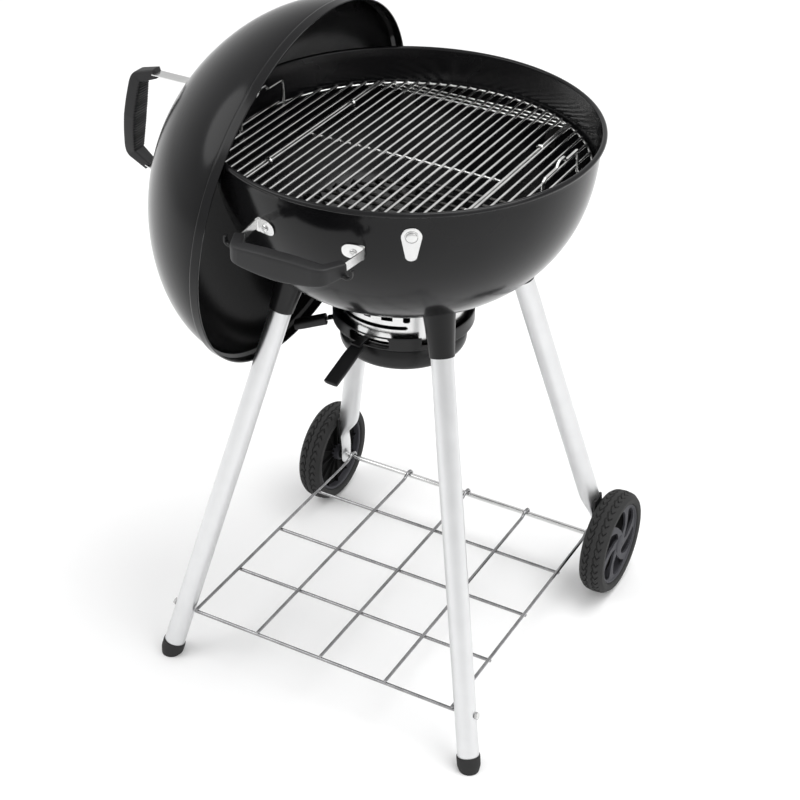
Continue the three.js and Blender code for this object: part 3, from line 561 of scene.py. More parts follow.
# ---------------------------------------------------------------- bowl
@dataclass
class Bowl:
    """The enamelled bowl: a dished shell with a rolled rim, three vents and a probe hole."""

    rim_z: float = 905.0
    radius: float = 282.6
    depth: float = 266.0
    power: float = 2.35
    sheet: float = 2.0
    roll: float = 4.0
    roll_middle: float = 286.0
    shaft: float = 7.0
    vent: tuple[float, float] = (30.0, 88.0)
    vent_width: float = 24.0
    vent_first: float = 62.0
    probe: tuple[float, float, float] = (300.5, 843.0, 5.0)

    def outer_r(self, z: Array | float) -> Array:
        """Gives the outside radius at a height: R x (1 - (drop / depth)^power)^(1 / power)."""
        drop = np.clip((self.rim_z - np.asarray(z, float)) / self.depth, 0, 1)
        return self.radius * (1 - drop**self.power) ** (1 / self.power)

    def outer_z(self, r: Array | float) -> Array:
        """Gives the height of the outside at a radius, by the same formula turned round."""
        share = np.clip(np.asarray(r, float) / self.radius, 0, 1)
        return self.rim_z - self.depth * (1 - share**self.power) ** (1 / self.power)

    def middle_r(self, z: Array) -> Array:
        """Gives the radius of the sheet's middle at a height."""
        drop = (self.rim_z - z) / (self.depth - 1)
        return (self.radius - 1) * (1 - drop**self.power) ** (1 / self.power)

    def outline(self) -> Array:
        """Gives the middle line of the sheet from the shaft's hole to the end of the roll.

        Returns:
            Rows of radius and height, with rows at the vents' own radii and close rows at the
            probe hole.
        """
        line = dish(self.radius - 1, self.depth - 1, self.power, 110)
        line[:, 1] = self.rim_z - line[:, 1]
        wall = line[(line[:, 0] > self.shaft + 1) & (line[:, 1] < self.rim_z - 10)]
        own = np.array([self.shaft, *self.vent])
        share = (own / (self.radius - 1)) ** self.power
        heights = self.rim_z - (self.depth - 1) * (1 - share) ** (1 / self.power)
        fine = np.arange(-7.5, 8, 1.25) + self.probe[1]
        wall = wall[np.abs(wall[:, 1] - self.probe[1]) > 9]
        near = np.stack([self.middle_r(fine), fine], axis=1)
        rows = np.vstack([np.stack([own, heights], axis=1), wall, near])
        rows = rows[np.argsort(rows[:, 0])]
        turn = np.radians(np.linspace(180, -130, 30))
        reach = self.roll - self.sheet / 2
        curl = np.stack(
            [self.roll_middle + reach * np.cos(turn), self.rim_z - self.roll + reach * np.sin(turn)],
            axis=1,
        )
        return np.vstack([rows, curl])

    def build(self, shop: Workshop) -> None:
        """Turns the shell, with the faces of its vents and of its probe hole left out.

        Columns and rows lie close round the probe hole, and the points nearest to its edge are
        put on its circle.

        Args:
            shop: The workshop that makes the pieces.
        """
        line = self.outline()
        place, height, size = self.probe
        degrees = np.unique(np.concatenate([np.arange(0, 360, 2), place + np.arange(-12, 13) * 0.25]))
        angle = np.broadcast_to(np.radians(degrees), (len(line), len(degrees))).copy()
        r, z = (np.repeat(line[:, i, None], len(degrees), axis=1) for i in range(2))
        a, b = (angle - math.radians(place)) * self.radius, z - height
        apart = np.hypot(a, b)
        edge = (np.abs(apart - size) < 0.62) & (r > self.radius / 2)
        angle[edge] = math.radians(place) + (a[edge] * size / apart[edge]) / self.radius
        z[edge] = height + b[edge] * size / apart[edge]
        r[edge] = self.middle_r(z[edge])
        points = np.stack([r * np.cos(angle), r * np.sin(angle), z], axis=-1)

        middle = (degrees + np.append(degrees[1:], 360)) / 2
        in_turn = np.abs((middle - self.vent_first + 60) % 120 - 60) < self.vent_width / 2
        mids = (line[:-1, 0] + line[1:, 0]) / 2
        in_ring = (mids > self.vent[0]) & (mids < self.vent[1]) & (line[:-1, 1] < self.rim_z - 100)
        across = np.radians(middle - place) * self.radius
        up = (line[:-1, 1] + line[1:, 1]) / 2 - height
        in_probe = (np.hypot(across[None, :], up[:, None]) < size) & (mids[:, None] > self.radius / 2)
        keep = ~(in_ring[:, None] & in_turn[None, :]) & ~in_probe
        shape = Shape().grid(points, wrap_v=True, keep=keep)
        shop.piece("bowl_shell", shape, ENAMEL, "frame", ["bowl"], wall=self.sheet)


# ---------------------------------------------------------------- collar, vent band and ash pan
def from_front(degrees: float | Array) -> float | Array:
    """Turns an angle counted from -Y towards +X into radians counted from +X."""
    return np.radians(np.asarray(degrees) - 90)


def slotted_band(
    radius: float, heights: Sequence[float], top: float, slots: Sequence[tuple[float, float, float, float]]
) -> Shape:
    """Bends a sheet into a band and leaves out its slots.

    The sheet is a cylinder with one column each degree, and its rows lie at the given heights.

    Args:
        radius: Radius of the band.
        heights: Heights of the rows, which hold every slot's edges.
        top: Height of the last row.
        slots: From and to angle from the front in degrees, low and high height.

    Returns:
        The open sheet.
    """
    rows = np.array([*heights, top])
    degrees = np.arange(360)
    angle = from_front(degrees)
    ring = np.stack([radius * np.cos(angle), radius * np.sin(angle)], axis=-1)
    points = np.empty((len(rows), 360, 3))
    points[..., :2] = ring[None]
    points[..., 2] = rows[:, None]
    mid_z = (rows[:-1] + rows[1:])[:, None] / 2
    mid_a = (degrees + 0.5)[None, :]
    keep = np.ones((len(rows) - 1, 360), bool)
    for start, stop, low, high in slots:
        inside = ((mid_a - start) % 360 < stop - start) & (mid_z > low) & (mid_z < high)
        keep &= ~inside
    return Shape().grid(points, wrap_v=True, keep=keep)


@dataclass
class AshCatcher:
    """The steel collar under the bowl, the black band with the lever's window, and the ash pan."""

    bowl: Bowl
    collar: float = 99.3
    band: float = 108.8
    foot: float = 585.5
    band_low: float = 584.0
    band_top: float = 605.0
    pan_low: float = 540.8
    pan_top: float = 582.6
    handle_turn: float = 204.0
    collar_rows: tuple[float, ...] = (
        588, 592.6, 600, 606, 615, 616.5, 619.5, 621, 627, 628.5, 629, 635, 635.5, 637, 641,
    )
    collar_slots: tuple[tuple[float, float, float, float], ...] = (
        (-18, 17, 588, 592.6), (-34, 31, 615, 621), (-35, 32, 616.5, 619.5), (150, 210, 615, 621),
        (-8, -1, 629, 635), (9, 19, 629, 635), (29, 33, 627, 637), (28, 34, 628.5, 635.5),
    )

    def build(self, shop: Workshop) -> None:
        """Makes the collar, the band, the pan and the pan's handle.

        Args:
            shop: The workshop that makes the pieces.
        """
        self.collar_and_band(shop)
        self.pan(shop)

    def collar_and_band(self, shop: Workshop) -> None:
        """Makes the slotted collar, and the band whose window the lever moves in.

        Args:
            shop: The workshop that makes the pieces.
        """
        top = float(self.bowl.outer_z(self.collar)) - 0.8
        collar = slotted_band(self.collar, [self.foot, *self.collar_rows], top, self.collar_slots)
        shop.piece("collar_sheet", collar, STEEL, "frame", ["collar"], wall=1.4, bevel=0.3)

        ledge = [(97.6, self.band_low), (100, self.band_low), (104, self.band_low)]
        bend = rounded([(104, self.band_low), (self.band, self.band_low), (self.band, 586)], 1.6)
        rows = np.vstack([ledge, bend, [(self.band, z) for z in (587.5, 592, 596, 600, 602.4)]])
        lip = [(self.band, self.band_top - 0.8), (self.band - 0.5, self.band_top)]
        rows = np.vstack([rows, lip])
        degrees = np.arange(360)
        angle = from_front(degrees)
        points = np.stack(
            np.broadcast_arrays(
                rows[:, 0, None] * np.cos(angle), rows[:, 0, None] * np.sin(angle), rows[:, 1, None]
            ),
            axis=-1,
        )
        mid_z = (rows[:-1, 1] + rows[1:, 1])[:, None] / 2
        on_wall = (rows[:-1, 0] > self.band - 0.1)[:, None]
        mid = (degrees + 0.5)[None, :]
        window = on_wall & ((mid + 18) % 360 < 34) & (mid_z > 586) & (mid_z < 602)
        window_ends = on_wall & ((mid + 19) % 360 < 36) & (mid_z > 587.5) & (mid_z < 600)
        notch = on_wall & ((mid - 43) % 360 < 7) & (mid_z > 592)
        band = Shape().grid(points, wrap_v=True, keep=~(window | window_ends | notch))
        shop.piece("vent_band", band, BLACK_METAL, "frame", ["vent_ring"], wall=1.4, bevel=0.3)

    def pan(self, shop: Workshop) -> None:
        """Makes the pan with a ring pressed in its bottom, and its bracket and handle.

        The ring is a bell curve in the radius, 0.9 high at 58 from the middle.

        Args:
            shop: The workshop that makes the pieces.
        """
        pan = rounded(
            [(0.01, self.pan_low), (91, self.pan_low), (97.5, self.pan_low + 8), (99.2, self.pan_top)],
            6, 10,
        )
        ribs = np.stack([np.linspace(0.01, 84, 40), np.full(40, self.pan_low)], axis=1)
        ribs[:, 1] += 0.9 * np.exp(-(((ribs[:, 0] - 58) / 4) ** 2))
        pan = np.vstack([ribs, pan[pan[:, 0] > 85]])
        shop.piece("ash_pan_shell", lathe(pan, 120), BLACK_METAL, "ash_catcher", ["ash_pan"], wall=1.4)

        turn = math.radians(self.handle_turn)
        out = np.array([math.cos(turn), math.sin(turn), 0.0])
        across = np.cross(Z, out)
        side = frame_of(out, across, Z, (0, 0, 0))
        strip = rounded([(100.9, 0, 557), (102, 0, 574.5), (118, 0, 570.5)], 3)
        bracket = sweep(strip, Y, 8, 1.0, power=8, sides=20).moved(side)
        shop.piece("pan_strip", bracket, STEEL, "ash_catcher", ["pan_bracket"])
        knob = smooth(
            [(118.2, 569.5, 7.5, 9.4), (140, 563.5, 7.2, 9.8), (160, 558, 7, 10), (170, 555.5, 5.6, 9)],
            30,
        )
        path = np.stack([knob[:, 0], np.zeros(30), knob[:, 1]], axis=1)
        hold = sweep(path, Y, knob[:, 3], knob[:, 2], power=3.6, sides=28, round_end=2.5).moved(side)
        shop.piece("pan_hold", hold, BLACK_PLASTIC, "ash_catcher", ["pan_handle"])


@dataclass
class VentLever:
    """The sweeper that opens and shuts the bowl's vents, and the lever that turns it."""

    bowl: Bowl
    vane: tuple[float, float] = (10.0, 96.0)
    vane_width: float = 26.0
    vane_first: float = 45.0
    clear: float = 0.6
    sheet: float = 1.8
    shaft: float = 6.0
    turn: float = -6.0
    height: float = 593.0
    neck: float = 112.0
    end: float = 126.0

    def build(self, shop: Workshop) -> None:
        """Makes the sweeper, the flat arm and the moulded grip on its end.

        Args:
            shop: The workshop that makes the pieces.
        """
        self.sweeper(shop)
        angle = float(from_front(self.turn))
        out = np.array([math.cos(angle), math.sin(angle), 0.0])
        side = frame_of(out, np.cross(Z, out), Z, (0, 0, 0))
        low = self.height - 2.8
        rows = np.array([(-12, 6), (60, 6), (self.neck, 6), (self.end - 4, 8.6), (self.end, 9)], float)
        path = np.stack([rows[:, 0], np.zeros(5), np.full(5, low)], axis=1)
        arm = sweep(path, Y, rows[:, 1], 1.5, power=9, sides=24).moved(side)
        shop.piece("lever_plate", arm, BLACK_METAL, "vent_sweeper", ["lever_arm"])
        line = smooth(
            [
                (self.end - 10, 584.6, 3.4, 10.5), (self.end + 8, 580, 3.5, 11.6),
                (self.end + 36, 567, 3.6, 12), (self.end + 64, 554.5, 3.4, 12),
            ],
            40,
        )
        path = np.stack([line[:, 0], np.zeros(40), line[:, 1]], axis=1)
        grip = sweep(path, Y, line[:, 3], line[:, 2], power=4.5, sides=32, round_end=2.5).moved(side)
        shop.piece("lever_hold", grip, BLACK_PLASTIC, "vent_sweeper", ["lever_grip"])

    def sweeper(self, shop: Workshop) -> None:
        """Makes three vanes that follow the bowl's inside, on a domed hub and a shaft.

        A vane's height is the bowl's outside plus its sheet, the running gap and half of the
        vane, and its width in degrees narrows a little towards the hub.

        Args:
            shop: The workshop that makes the pieces.
        """
        r = np.linspace(*self.vane, 40)
        height = self.bowl.outer_z(r) + self.bowl.sheet + self.clear + self.sheet / 2 + 0.1
        share = np.linspace(-1, 1, 13)
        narrow = np.interp(r, [10, 40, 90, 96], [1.0, 0.9, 1.0, 0.86])
        width = math.radians(self.vane_width / 2) * narrow
        vanes = Shape()
        for i in range(3):
            angle = math.radians(self.vane_first + 120 * i) + width[:, None] * share[None]
            across = [r[:, None] * np.cos(angle), r[:, None] * np.sin(angle)]
            vanes.grid(np.stack([*across, height[:, None] + 0 * angle], axis=-1))
        shop.piece("sweeper_vanes", vanes, STEEL, "vent_sweeper", wall=self.sheet, bevel=0.3)
        top = float(height[0]) + self.sheet / 2
        dome = [(0.01, top + 5), (9, top + 4.4), (15, top + 0.4), (15, top - 1.4)]
        hub = rounded([*dome, (self.shaft, top - 1.4)], 2, 6)
        end = self.height - 5
        rod = np.array([(self.shaft, self.height - 4), (self.shaft - 1, end), (0.01, end)])
        shaft = lathe(np.vstack([hub, rod]), 72)
        shop.piece("sweeper_hub", shaft, STEEL, "vent_sweeper", ["sweeper"])


# ---------------------------------------------------------------- grates
@dataclass
class CookingGrate:
    """The rod grate on which food is cooked, with a flap hinged at each side."""

    height: float = 853.0
    radius: float = 271.0
    rod: float = 2.4
    ring: float = 2.5
    pitch: float = 16.0
    hinge: float = 160.0
    flap: float = 166.0
    flap_rods: int = 7
    cross: float = 1.8
    cross_rows: tuple[float, ...] = (-235, -223, -211, 211, 223, 235)

    def rod_at(self, x: float) -> Shape:
        """Gives the rod at a distance from the middle, which ends on the round rim."""
        reach = math.sqrt(self.radius**2 - x**2)
        return wire([(x, -reach, self.height), (x, reach, self.height)], self.rod, sides=14)

    def rim(self, start: float, stop: float) -> Shape:
        """Gives a part of the round rim between two angles from +X in radians."""
        turn = np.linspace(start, stop, 60)
        z = np.full(60, self.height - self.rod - 1.5)
        path = np.stack([self.radius * np.cos(turn), self.radius * np.sin(turn), z], axis=1)
        return sweep(path, Z, self.ring, self.ring, sides=14, round_end=1)

    def cross_rod(self, y: float, beads: bool = False) -> Shape:
        """Gives a rod across the centre section, under the cooking rods.

        Args:
            y: Its place along the cooking rods.
            beads: It swells where it meets each cooking rod.

        Returns:
            The rod.
        """
        half = min(self.hinge, math.sqrt(self.radius**2 - y**2))
        x = np.linspace(-half, half, 420 if beads else 2)
        z = self.height - self.rod - self.cross
        path = np.stack([x, np.full_like(x, y), np.full_like(x, z)], axis=1)
        near = np.abs((x + self.pitch / 2) % self.pitch - self.pitch / 2)
        size = self.cross + (0.9 * np.exp(-((near / 3.2) ** 2)) if beads else 0.0)
        return sweep(path, Y, size, size, sides=12)

    def build(self, shop: Workshop) -> None:
        """Makes the centre section and both flaps.

        Args:
            shop: The workshop that makes the pieces.
        """
        centre = Shape()
        for i in range(-10, 11):
            centre.merge(self.rod_at(i * self.pitch))
        half = math.asin(self.hinge / self.radius)
        for side in (1, -1):
            centre.merge(self.rim(side * math.pi / 2 - half, side * math.pi / 2 + half))
        for y in self.cross_rows:
            centre.merge(self.cross_rod(y))
        centre.merge(self.cross_rod(0, beads=True))
        shop.piece("grate_rods_centre", centre, WIRE, "cooking_grate", ["grate_centre"], sharp=50)
        for name, side in (("left", -1), ("right", 1)):
            shop.piece(
                f"grate_rods_{name}", self.flap_shape(side), WIRE, f"flap_{name}",
                [f"grate_flap_{name}"], sharp=50,
            )

    def flap_shape(self, side: int) -> Shape:
        """Gives one flap with its rods, rim, handle loop and hinge eyes.

        Args:
            side: 1 for the right flap and -1 for the left.

        Returns:
            The flap.
        """
        flap = Shape()
        for i in range(self.flap_rods):
            flap.merge(self.rod_at(side * (self.flap + i * self.pitch)))
        half = math.acos(self.flap / self.radius)
        middle = 0 if side > 0 else math.pi
        flap.merge(self.rim(middle - half, middle + half))
        x = side * (self.flap + 5 * self.pitch)
        low, top = self.height + 1, self.height + 44
        hump = top + 8
        loop = [
            (-60, low), (-57, top), (-14, top), (-9, hump), (9, hump), (14, top), (57, top), (60, low),
        ]
        flap.merge(wire([(x, y, h) for y, h in loop], 2.4, bend=7, sides=14))
        turn = np.linspace(0, TAU, 20, endpoint=False)
        for y in (-120, -117.6, 117.6, 120):
            ring = np.stack(
                [side * self.hinge + 4.5 * np.cos(turn), np.full(20, y), self.height + 4.5 * np.sin(turn)],
                axis=1,
            )
            flap.merge(sweep(ring, Y, 1.2, 1.2, sides=8, closed=True))
        return flap


@dataclass
class CharcoalGrate:
    """The rod grate that holds the charcoal, deep in the bowl."""

    bowl: Bowl
    height: float = 715.0
    pitch: float = 26.0
    rod: float = 3.0
    count: int = 7
    cross: float = 75.0

    def build(self, shop: Workshop) -> None:
        """Makes the rods along X and the two under them.

        Args:
            shop: The workshop that makes the pieces.
        """
        inside = float(self.bowl.outer_r(self.height - self.rod)) - 4.5
        grate = Shape()
        for i in range(-self.count, self.count + 1):
            y = i * self.pitch
            half = math.sqrt(inside**2 - y**2)
            grate.merge(wire([(-half, y, self.height), (half, y, self.height)], self.rod, sides=14))
        half = self.count * self.pitch + self.rod
        for x in (-self.cross, self.cross):
            z = self.height - 2 * self.rod + 0.4
            grate.merge(wire([(x, -half, z), (x, half, z)], self.rod, sides=14))
        shop.piece("charcoal_rods", grate, IRON, "coal_grate", ["charcoal_grate"], sharp=50)


# ---------------------------------------------------------------- legs, sockets and feet
@dataclass
class Legs:
    """Four tube legs in black sockets, the front two on rubber feet and the rear two on the axle."""

    bowl: Bowl
    foot_x: float = 277.7
    front_y: float = -282.5
    rear_y: float = 273.5
    top: tuple[float, float, float] = (130.18, 127.07, 650.0)
    radius: float = 17.0
    tube_top: float = 671.0
    socket_low: float = 622.0
    axle: tuple[float, float] = (242.4, 91.1)
    tongue_x: float = 249.5
    cut: float = 181.0
    socket_mouth: float = 18.6
    socket_flare: float = 7.0
    socket_run: float = 80.0
    socket_bore: float = 17.4
    socket_columns: int = 96

    def at(self, side: int, end: int, z: Array | float) -> Array:
        """Gives points on a leg's axis.

        Args:
            side: 1 for right and -1 for left.
            end: 1 for rear and -1 for front.
            z: Heights.

        Returns:
            Points of the straight line from the foot to the top.
        """
        foot = np.array([side * self.foot_x, self.front_y if end < 0 else self.rear_y, 0.0])
        top = np.array([side * self.top[0], end * self.top[1], self.top[2]])
        share = np.atleast_1d(np.asarray(z, float))[:, None] / self.top[2]
        return foot + (top - foot) * share

    def leg_frame(self, side: int, end: int, z: float) -> Array:
        """Gives a frame on a leg's axis, with its Z up the leg and its X outwards."""
        here = self.at(side, end, z)[0]
        up = unit(self.at(side, end, 100)[0] - self.at(side, end, 0)[0])
        x = unit(X - X @ up * up)
        return frame_of(x, np.cross(up, x), up, here)

    def build(self, shop: Workshop) -> None:
        """Makes each leg with its socket, and its foot or its flattened end.

        Args:
            shop: The workshop that makes the pieces.
        """
        for side_name, side in (("left", -1), ("right", 1)):
            for end_name, end in (("front", -1), ("rear", 1)):
                name = f"{end_name}_{side_name}"
                self.socket(shop, name, side, end)
                if end < 0:
                    path = self.at(side, end, np.linspace(9, self.tube_top, 30))
                    leg = sweep(path, X, self.radius, self.radius, sides=48)
                    self.foot(shop, name, side)
                else:
                    leg = self.rear_leg(side)
                    # A black strip in the cut end of the rear leg: painted shade for its dark hollow.
                    shop.piece(f"tube_cut_shade_{side_name}", self.cut_shade_strip(side), BLACK_PLASTIC, "frame")
                shop.piece(f"leg_tube_{name}", leg, ALUMINIUM, "frame", [f"leg_{name}"], sharp=50)

    def rear_leg(self, side: int) -> Shape:
        """Gives a rear leg: a round tube whose lower end is pressed flat round the axle.

        Args:
            side: 1 for right and -1 for left.

        Returns:
            The leg.
        """
        tube = self.at(side, 1, np.array([*np.linspace(self.tube_top, 200, 20), 190, self.cut + 1]))
        y, z = self.axle
        x = side * self.tongue_x
        flat = np.array([(x, y - 3.5, 140), (x, y, 112), (x, y, z - 15)])
        joint = smooth([*self.at(side, 1, [196, 178]), *flat], 60)
        path = np.vstack([tube, joint[joint[:, 2] < self.cut]])
        share = np.clip((190 - path[:, 2]) / 58, 0, 1)
        ease = share**2 * (3 - 2 * share)
        along_x = self.radius + (4 - self.radius) * ease
        along_y = self.radius + (15 - self.radius) * ease
        tip = np.clip((path[:, 2] - (z - 15)) / 15, 0, 1)
        along_y = along_y * np.sqrt(np.clip(1 - (1 - tip) ** 2, 0.01, 1))
        leg = sweep(path, Y, along_y, along_x, power=2.2, sides=48)
        for points in leg.points:
            reach = np.where(points[:, 2] < self.cut, self.tongue_x - 0.3, self.tongue_x + 4.2)
            reach = np.where(points[:, 2] < 250, reach, np.inf)
            points[:, 0] = side * np.minimum(side * points[:, 0], reach)
        return leg

    def cut_shade_strip(self, side: int) -> Shape:
        """Gives a black strip in the cut on the outer half of a rear leg's end, painted shade for the dark
        hollow inside the flattened tube.

        Args:
            side: 1 for right and -1 for left.

        Returns:
            A flat strip that follows the leg down to the axle.
        """
        rows = smooth(
            [
                (232.8, 181, 13.5), (236.0, 160, 15.6), (238.9, 140, 15.4), (242.0, 118, 14.8),
                (242.4, 102, 9.0),
            ],
            40,
        )
        path = np.stack([np.full(40, side * (self.tongue_x + 2.2)), rows[:, 0], rows[:, 1]], axis=1)
        return sweep(path, Y, rows[:, 2], 2.6, power=5, sides=40)

    def socket(self, shop: Workshop, name: str, side: int, end: int) -> None:
        """Makes the tapered socket, whose top edge follows the bowl.

        Each column climbs the leg's direction until it meets the bowl: the height is found by
        halving the step, where the column's distance from the bowl's axis equals the bowl's radius.

        Args:
            shop: The workshop that makes the pieces.
            name: The leg's name.
            side: 1 for right and -1 for left.
            end: 1 for rear and -1 for front.
        """
        frame = self.leg_frame(side, end, self.socket_low)
        count = self.socket_columns
        turn = np.linspace(0, TAU, count, endpoint=False)
        ring = np.stack([np.cos(turn), np.sin(turn)], axis=-1)

        def place(r: Array | float, t: Array) -> Array:
            """Gives each column's point at a radius and at a length up the sleeve."""
            local = np.stack([ring[:, 0] * r, ring[:, 1] * r, t], axis=-1)
            return local @ frame[:3, :3].T + frame[:3, 3]

        def sleeve(t: Array) -> Array:
            """Gives the sleeve's points: its radius grows from the mouth's with the run's share."""
            share = np.clip(t / self.socket_run, 0, 1)
            return place(self.socket_mouth + self.socket_flare * share**1.25, t)

        low, high = np.zeros(count), np.full(count, 140.0)
        for _ in range(30):
            middle = (low + high) / 2
            spot = sleeve(middle)
            reach = np.hypot(spot[:, 0], spot[:, 1])
            outside = reach > self.bowl.outer_r(spot[:, 2]) + 0.3
            below = spot[:, 2] < self.bowl.outer_z(reach) - 0.3
            free = outside | below
            low = np.where(free, middle, low)
            high = np.where(free, high, middle)
        shares = np.concatenate([[0.0], np.linspace(0.02, 1, 30)])
        rows = np.stack([sleeve(share * low) for share in shares])
        bore = np.stack([place(self.socket_bore, np.full(count, t)) for t in (18.0, 0.0)])
        shape = Shape().grid(np.concatenate([bore, rows]), wrap_v=True)
        cap = np.linspace(1.0, 0.86, 4)[:, None, None]
        crown = rows[-1].mean(axis=0) + (rows[-1] - rows[-1].mean(axis=0)) * cap
        shape.grid(crown, wrap_v=True)
        shop.piece(f"leg_socket_{name}", shape, BLACK_METAL, "frame", [f"socket_{name}"], wall=0.7)

    def foot(self, shop: Workshop, name: str, side: int) -> None:
        """Makes a rubber cap, turned about the leg and flattened where it stands on the floor.

        Args:
            shop: The workshop that makes the pieces.
            name: The leg's name.
            side: 1 for right and -1 for left.
        """
        outside = [(0.01, -14), (10, -14), (15.5, -2), (18.4, 8), (18.6, 22), (18.2, 24)]
        outline = rounded([*outside, (17.1, 24), (17.1, 12)], 2.5)
        extra = np.stack([np.linspace(0.01, 9, 8), np.full(8, -14.0)], axis=1)
        cap = lathe(np.vstack([extra, outline[outline[:, 0] > 9]]), 72).moved(self.leg_frame(side, -1, 0))
        for points in cap.points:
            points[:, 2] = np.maximum(points[:, 2], 0.0)
        shop.piece(f"rubber_foot_{name}", cap, FOOT_RUBBER, "frame", [f"foot_{name}"])


# ---------------------------------------------------------------- wheels and axle
@dataclass
class Wheel:
    """A moulded hub with swirling spokes in a tyre with a block tread."""

    side: int
    axle: tuple[float, float] = (242.4, 91.1)
    middle: float = 278.0
    radius: float = 91.1
    half: float = 21.5
    hub: float = 71.0
    blocks: int = 40
    tread: float = 2.4
    swirl: float = 42.0
    ribs: int = 12

    @property
    def name(self) -> str:
        """Gives the side's name."""
        return "left" if self.side < 0 else "right"

    @property
    def frame(self) -> Array:
        """Gives the wheel's frame, whose Z points outwards along the axle."""
        out = np.array([float(self.side), 0.0, 0.0])
        return frame_of(Y, np.cross(out, Y), out, (self.side * self.middle, *self.axle))

    def tyre(self) -> Shape:
        """Gives the tyre with its tread.

        The section is a closed outline. Its tread sinks by its depth where a chevron groove or
        one of the two zigzag grooves round the tyre runs. A chevron is a wave in the angle plus
        the distance from its bend, and each groove is a smooth step at the ends of its range.

        Returns:
            The tyre.
        """
        w = self.half
        corners = [
            (self.hub + 0.4, 0), (self.hub + 0.4, w - 2.5), (self.hub + 3, w - 0.6), (self.hub + 12, w),
            (self.radius - 6, w - 2.5), (self.radius - 1.6, w - 8), (self.radius, 0),
            (self.radius - 1.6, -w + 8), (self.radius - 6, -w + 2.5), (self.hub + 12, -w),
            (self.hub + 3, -w + 0.6), (self.hub + 0.4, -w + 2.5), (self.hub + 0.4, 0),
        ]
        line = rounded(corners, 5.0, 7)
        spread = np.concatenate([[0], np.cumsum(np.linalg.norm(np.diff(line, axis=0), axis=1))])
        even = np.linspace(0, spread[-1], 121)[:-1]
        line = np.stack([np.interp(even, spread, line[:, 0]), np.interp(even, spread, line[:, 1])], axis=1)
        r, x = line[:, 0, None], line[:, 1, None]
        turn = np.linspace(0, TAU, 720, endpoint=False)[None, :]
        phase = turn * self.blocks / TAU
        zigzag = 5.2 + 1.3 * (np.abs(phase % 1.0 - 0.5) * 4 - 1)
        ring = np.clip((1.25 - np.abs(np.abs(x) - zigzag)) / 0.7, 0, 1)
        bent = (phase + np.abs(np.abs(x) - 10.5) * 0.11) % 1.0
        chevron = np.clip((0.13 - np.abs(bent - 0.5)) / 0.05, 0, 1)
        band = np.clip((np.abs(x) - 5) / 0.8, 0, 1) * np.clip((15.2 - np.abs(x)) / 1.2, 0, 1)
        outward = np.clip((r - self.radius + 9) / 4, 0, 1)
        reach = r - self.tread * outward * np.maximum(chevron * band, ring)
        points = np.stack(
            np.broadcast_arrays(reach * np.cos(turn), reach * np.sin(turn), x + 0 * turn), axis=-1
        )
        return Shape().grid(points, wrap_u=True, wrap_v=True).moved(self.frame)

    def spokes(self) -> Shape:
        """Gives the hub's disc, whose six windows swirl.

        Columns turn with the radius, by the swirl from the windows' inner edge to their outer
        edge. A window's half width is a share of a superellipse in the radius, which narrows
        towards the middle, and the disc's face falls a little towards the rim.

        Returns:
            The disc as an open sheet.
        """
        share = np.array([0.2, 0.25, *np.linspace(0.26, 0.925, 36), 0.945])
        columns = 540
        base = np.arange(columns) * TAU / columns
        swirl = np.radians(self.swirl) * np.clip((share - 0.26) / 0.67, 0, 1.03) ** 0.8
        angle = base[None, :] + swirl[:, None]
        r = (share * self.hub)[:, None]
        out = 15.2 - 1.6 * np.clip(share, 0, 1)[:, None] ** 2 + 0 * angle
        points = np.stack([r * np.cos(angle), r * np.sin(angle), out], axis=-1)
        mids = ((share[:-1] + share[1:]) / 2)[:, None]
        place = (np.degrees(base + TAU / columns / 2)[None, :] + 30) % 60 - 30
        run = (mids - 0.26) / 0.665
        outer_end = np.sqrt(np.clip(1 - np.clip(run, 0, 1) ** 14, 0, 1))
        width = 21.5 * np.clip(run * 3.2, 0, 1) ** 0.6 * outer_end
        window = (np.abs(place) < width) & (run > 0) & (run < 1)
        return Shape().grid(points, wrap_v=True, keep=~window).moved(self.frame)

    def web(self) -> Shape:
        """Gives the closed wall deep in the hub, with ribs on its inner side, coloured near black as
        painted shade seen through the windows.

        Its inner face rises by 4.5 where the angle is near one of the ribs'.

        Returns:
            The wall.
        """
        r = np.array([9.0, 13, 14, 30, 45, self.hub - 5.5, self.hub - 4.6])[:, None]
        turn = np.linspace(0, TAU, 432, endpoint=False)[None, :]
        near = np.abs((turn * self.ribs / TAU + 0.5) % 1.0 - 0.5) * TAU / self.ribs * r
        rib = np.clip((1.6 - near) / 0.5, 0, 1)
        ring = [r * np.cos(turn), r * np.sin(turn)]
        back = np.stack([*ring, -6.0 - 4.5 * rib], axis=-1)
        front = np.stack([*ring, -4.0 + 0 * turn * r], axis=-1)
        closed = np.concatenate([back, front[::-1]])
        return Shape().grid(closed, wrap_u=True, wrap_v=True).moved(self.frame)

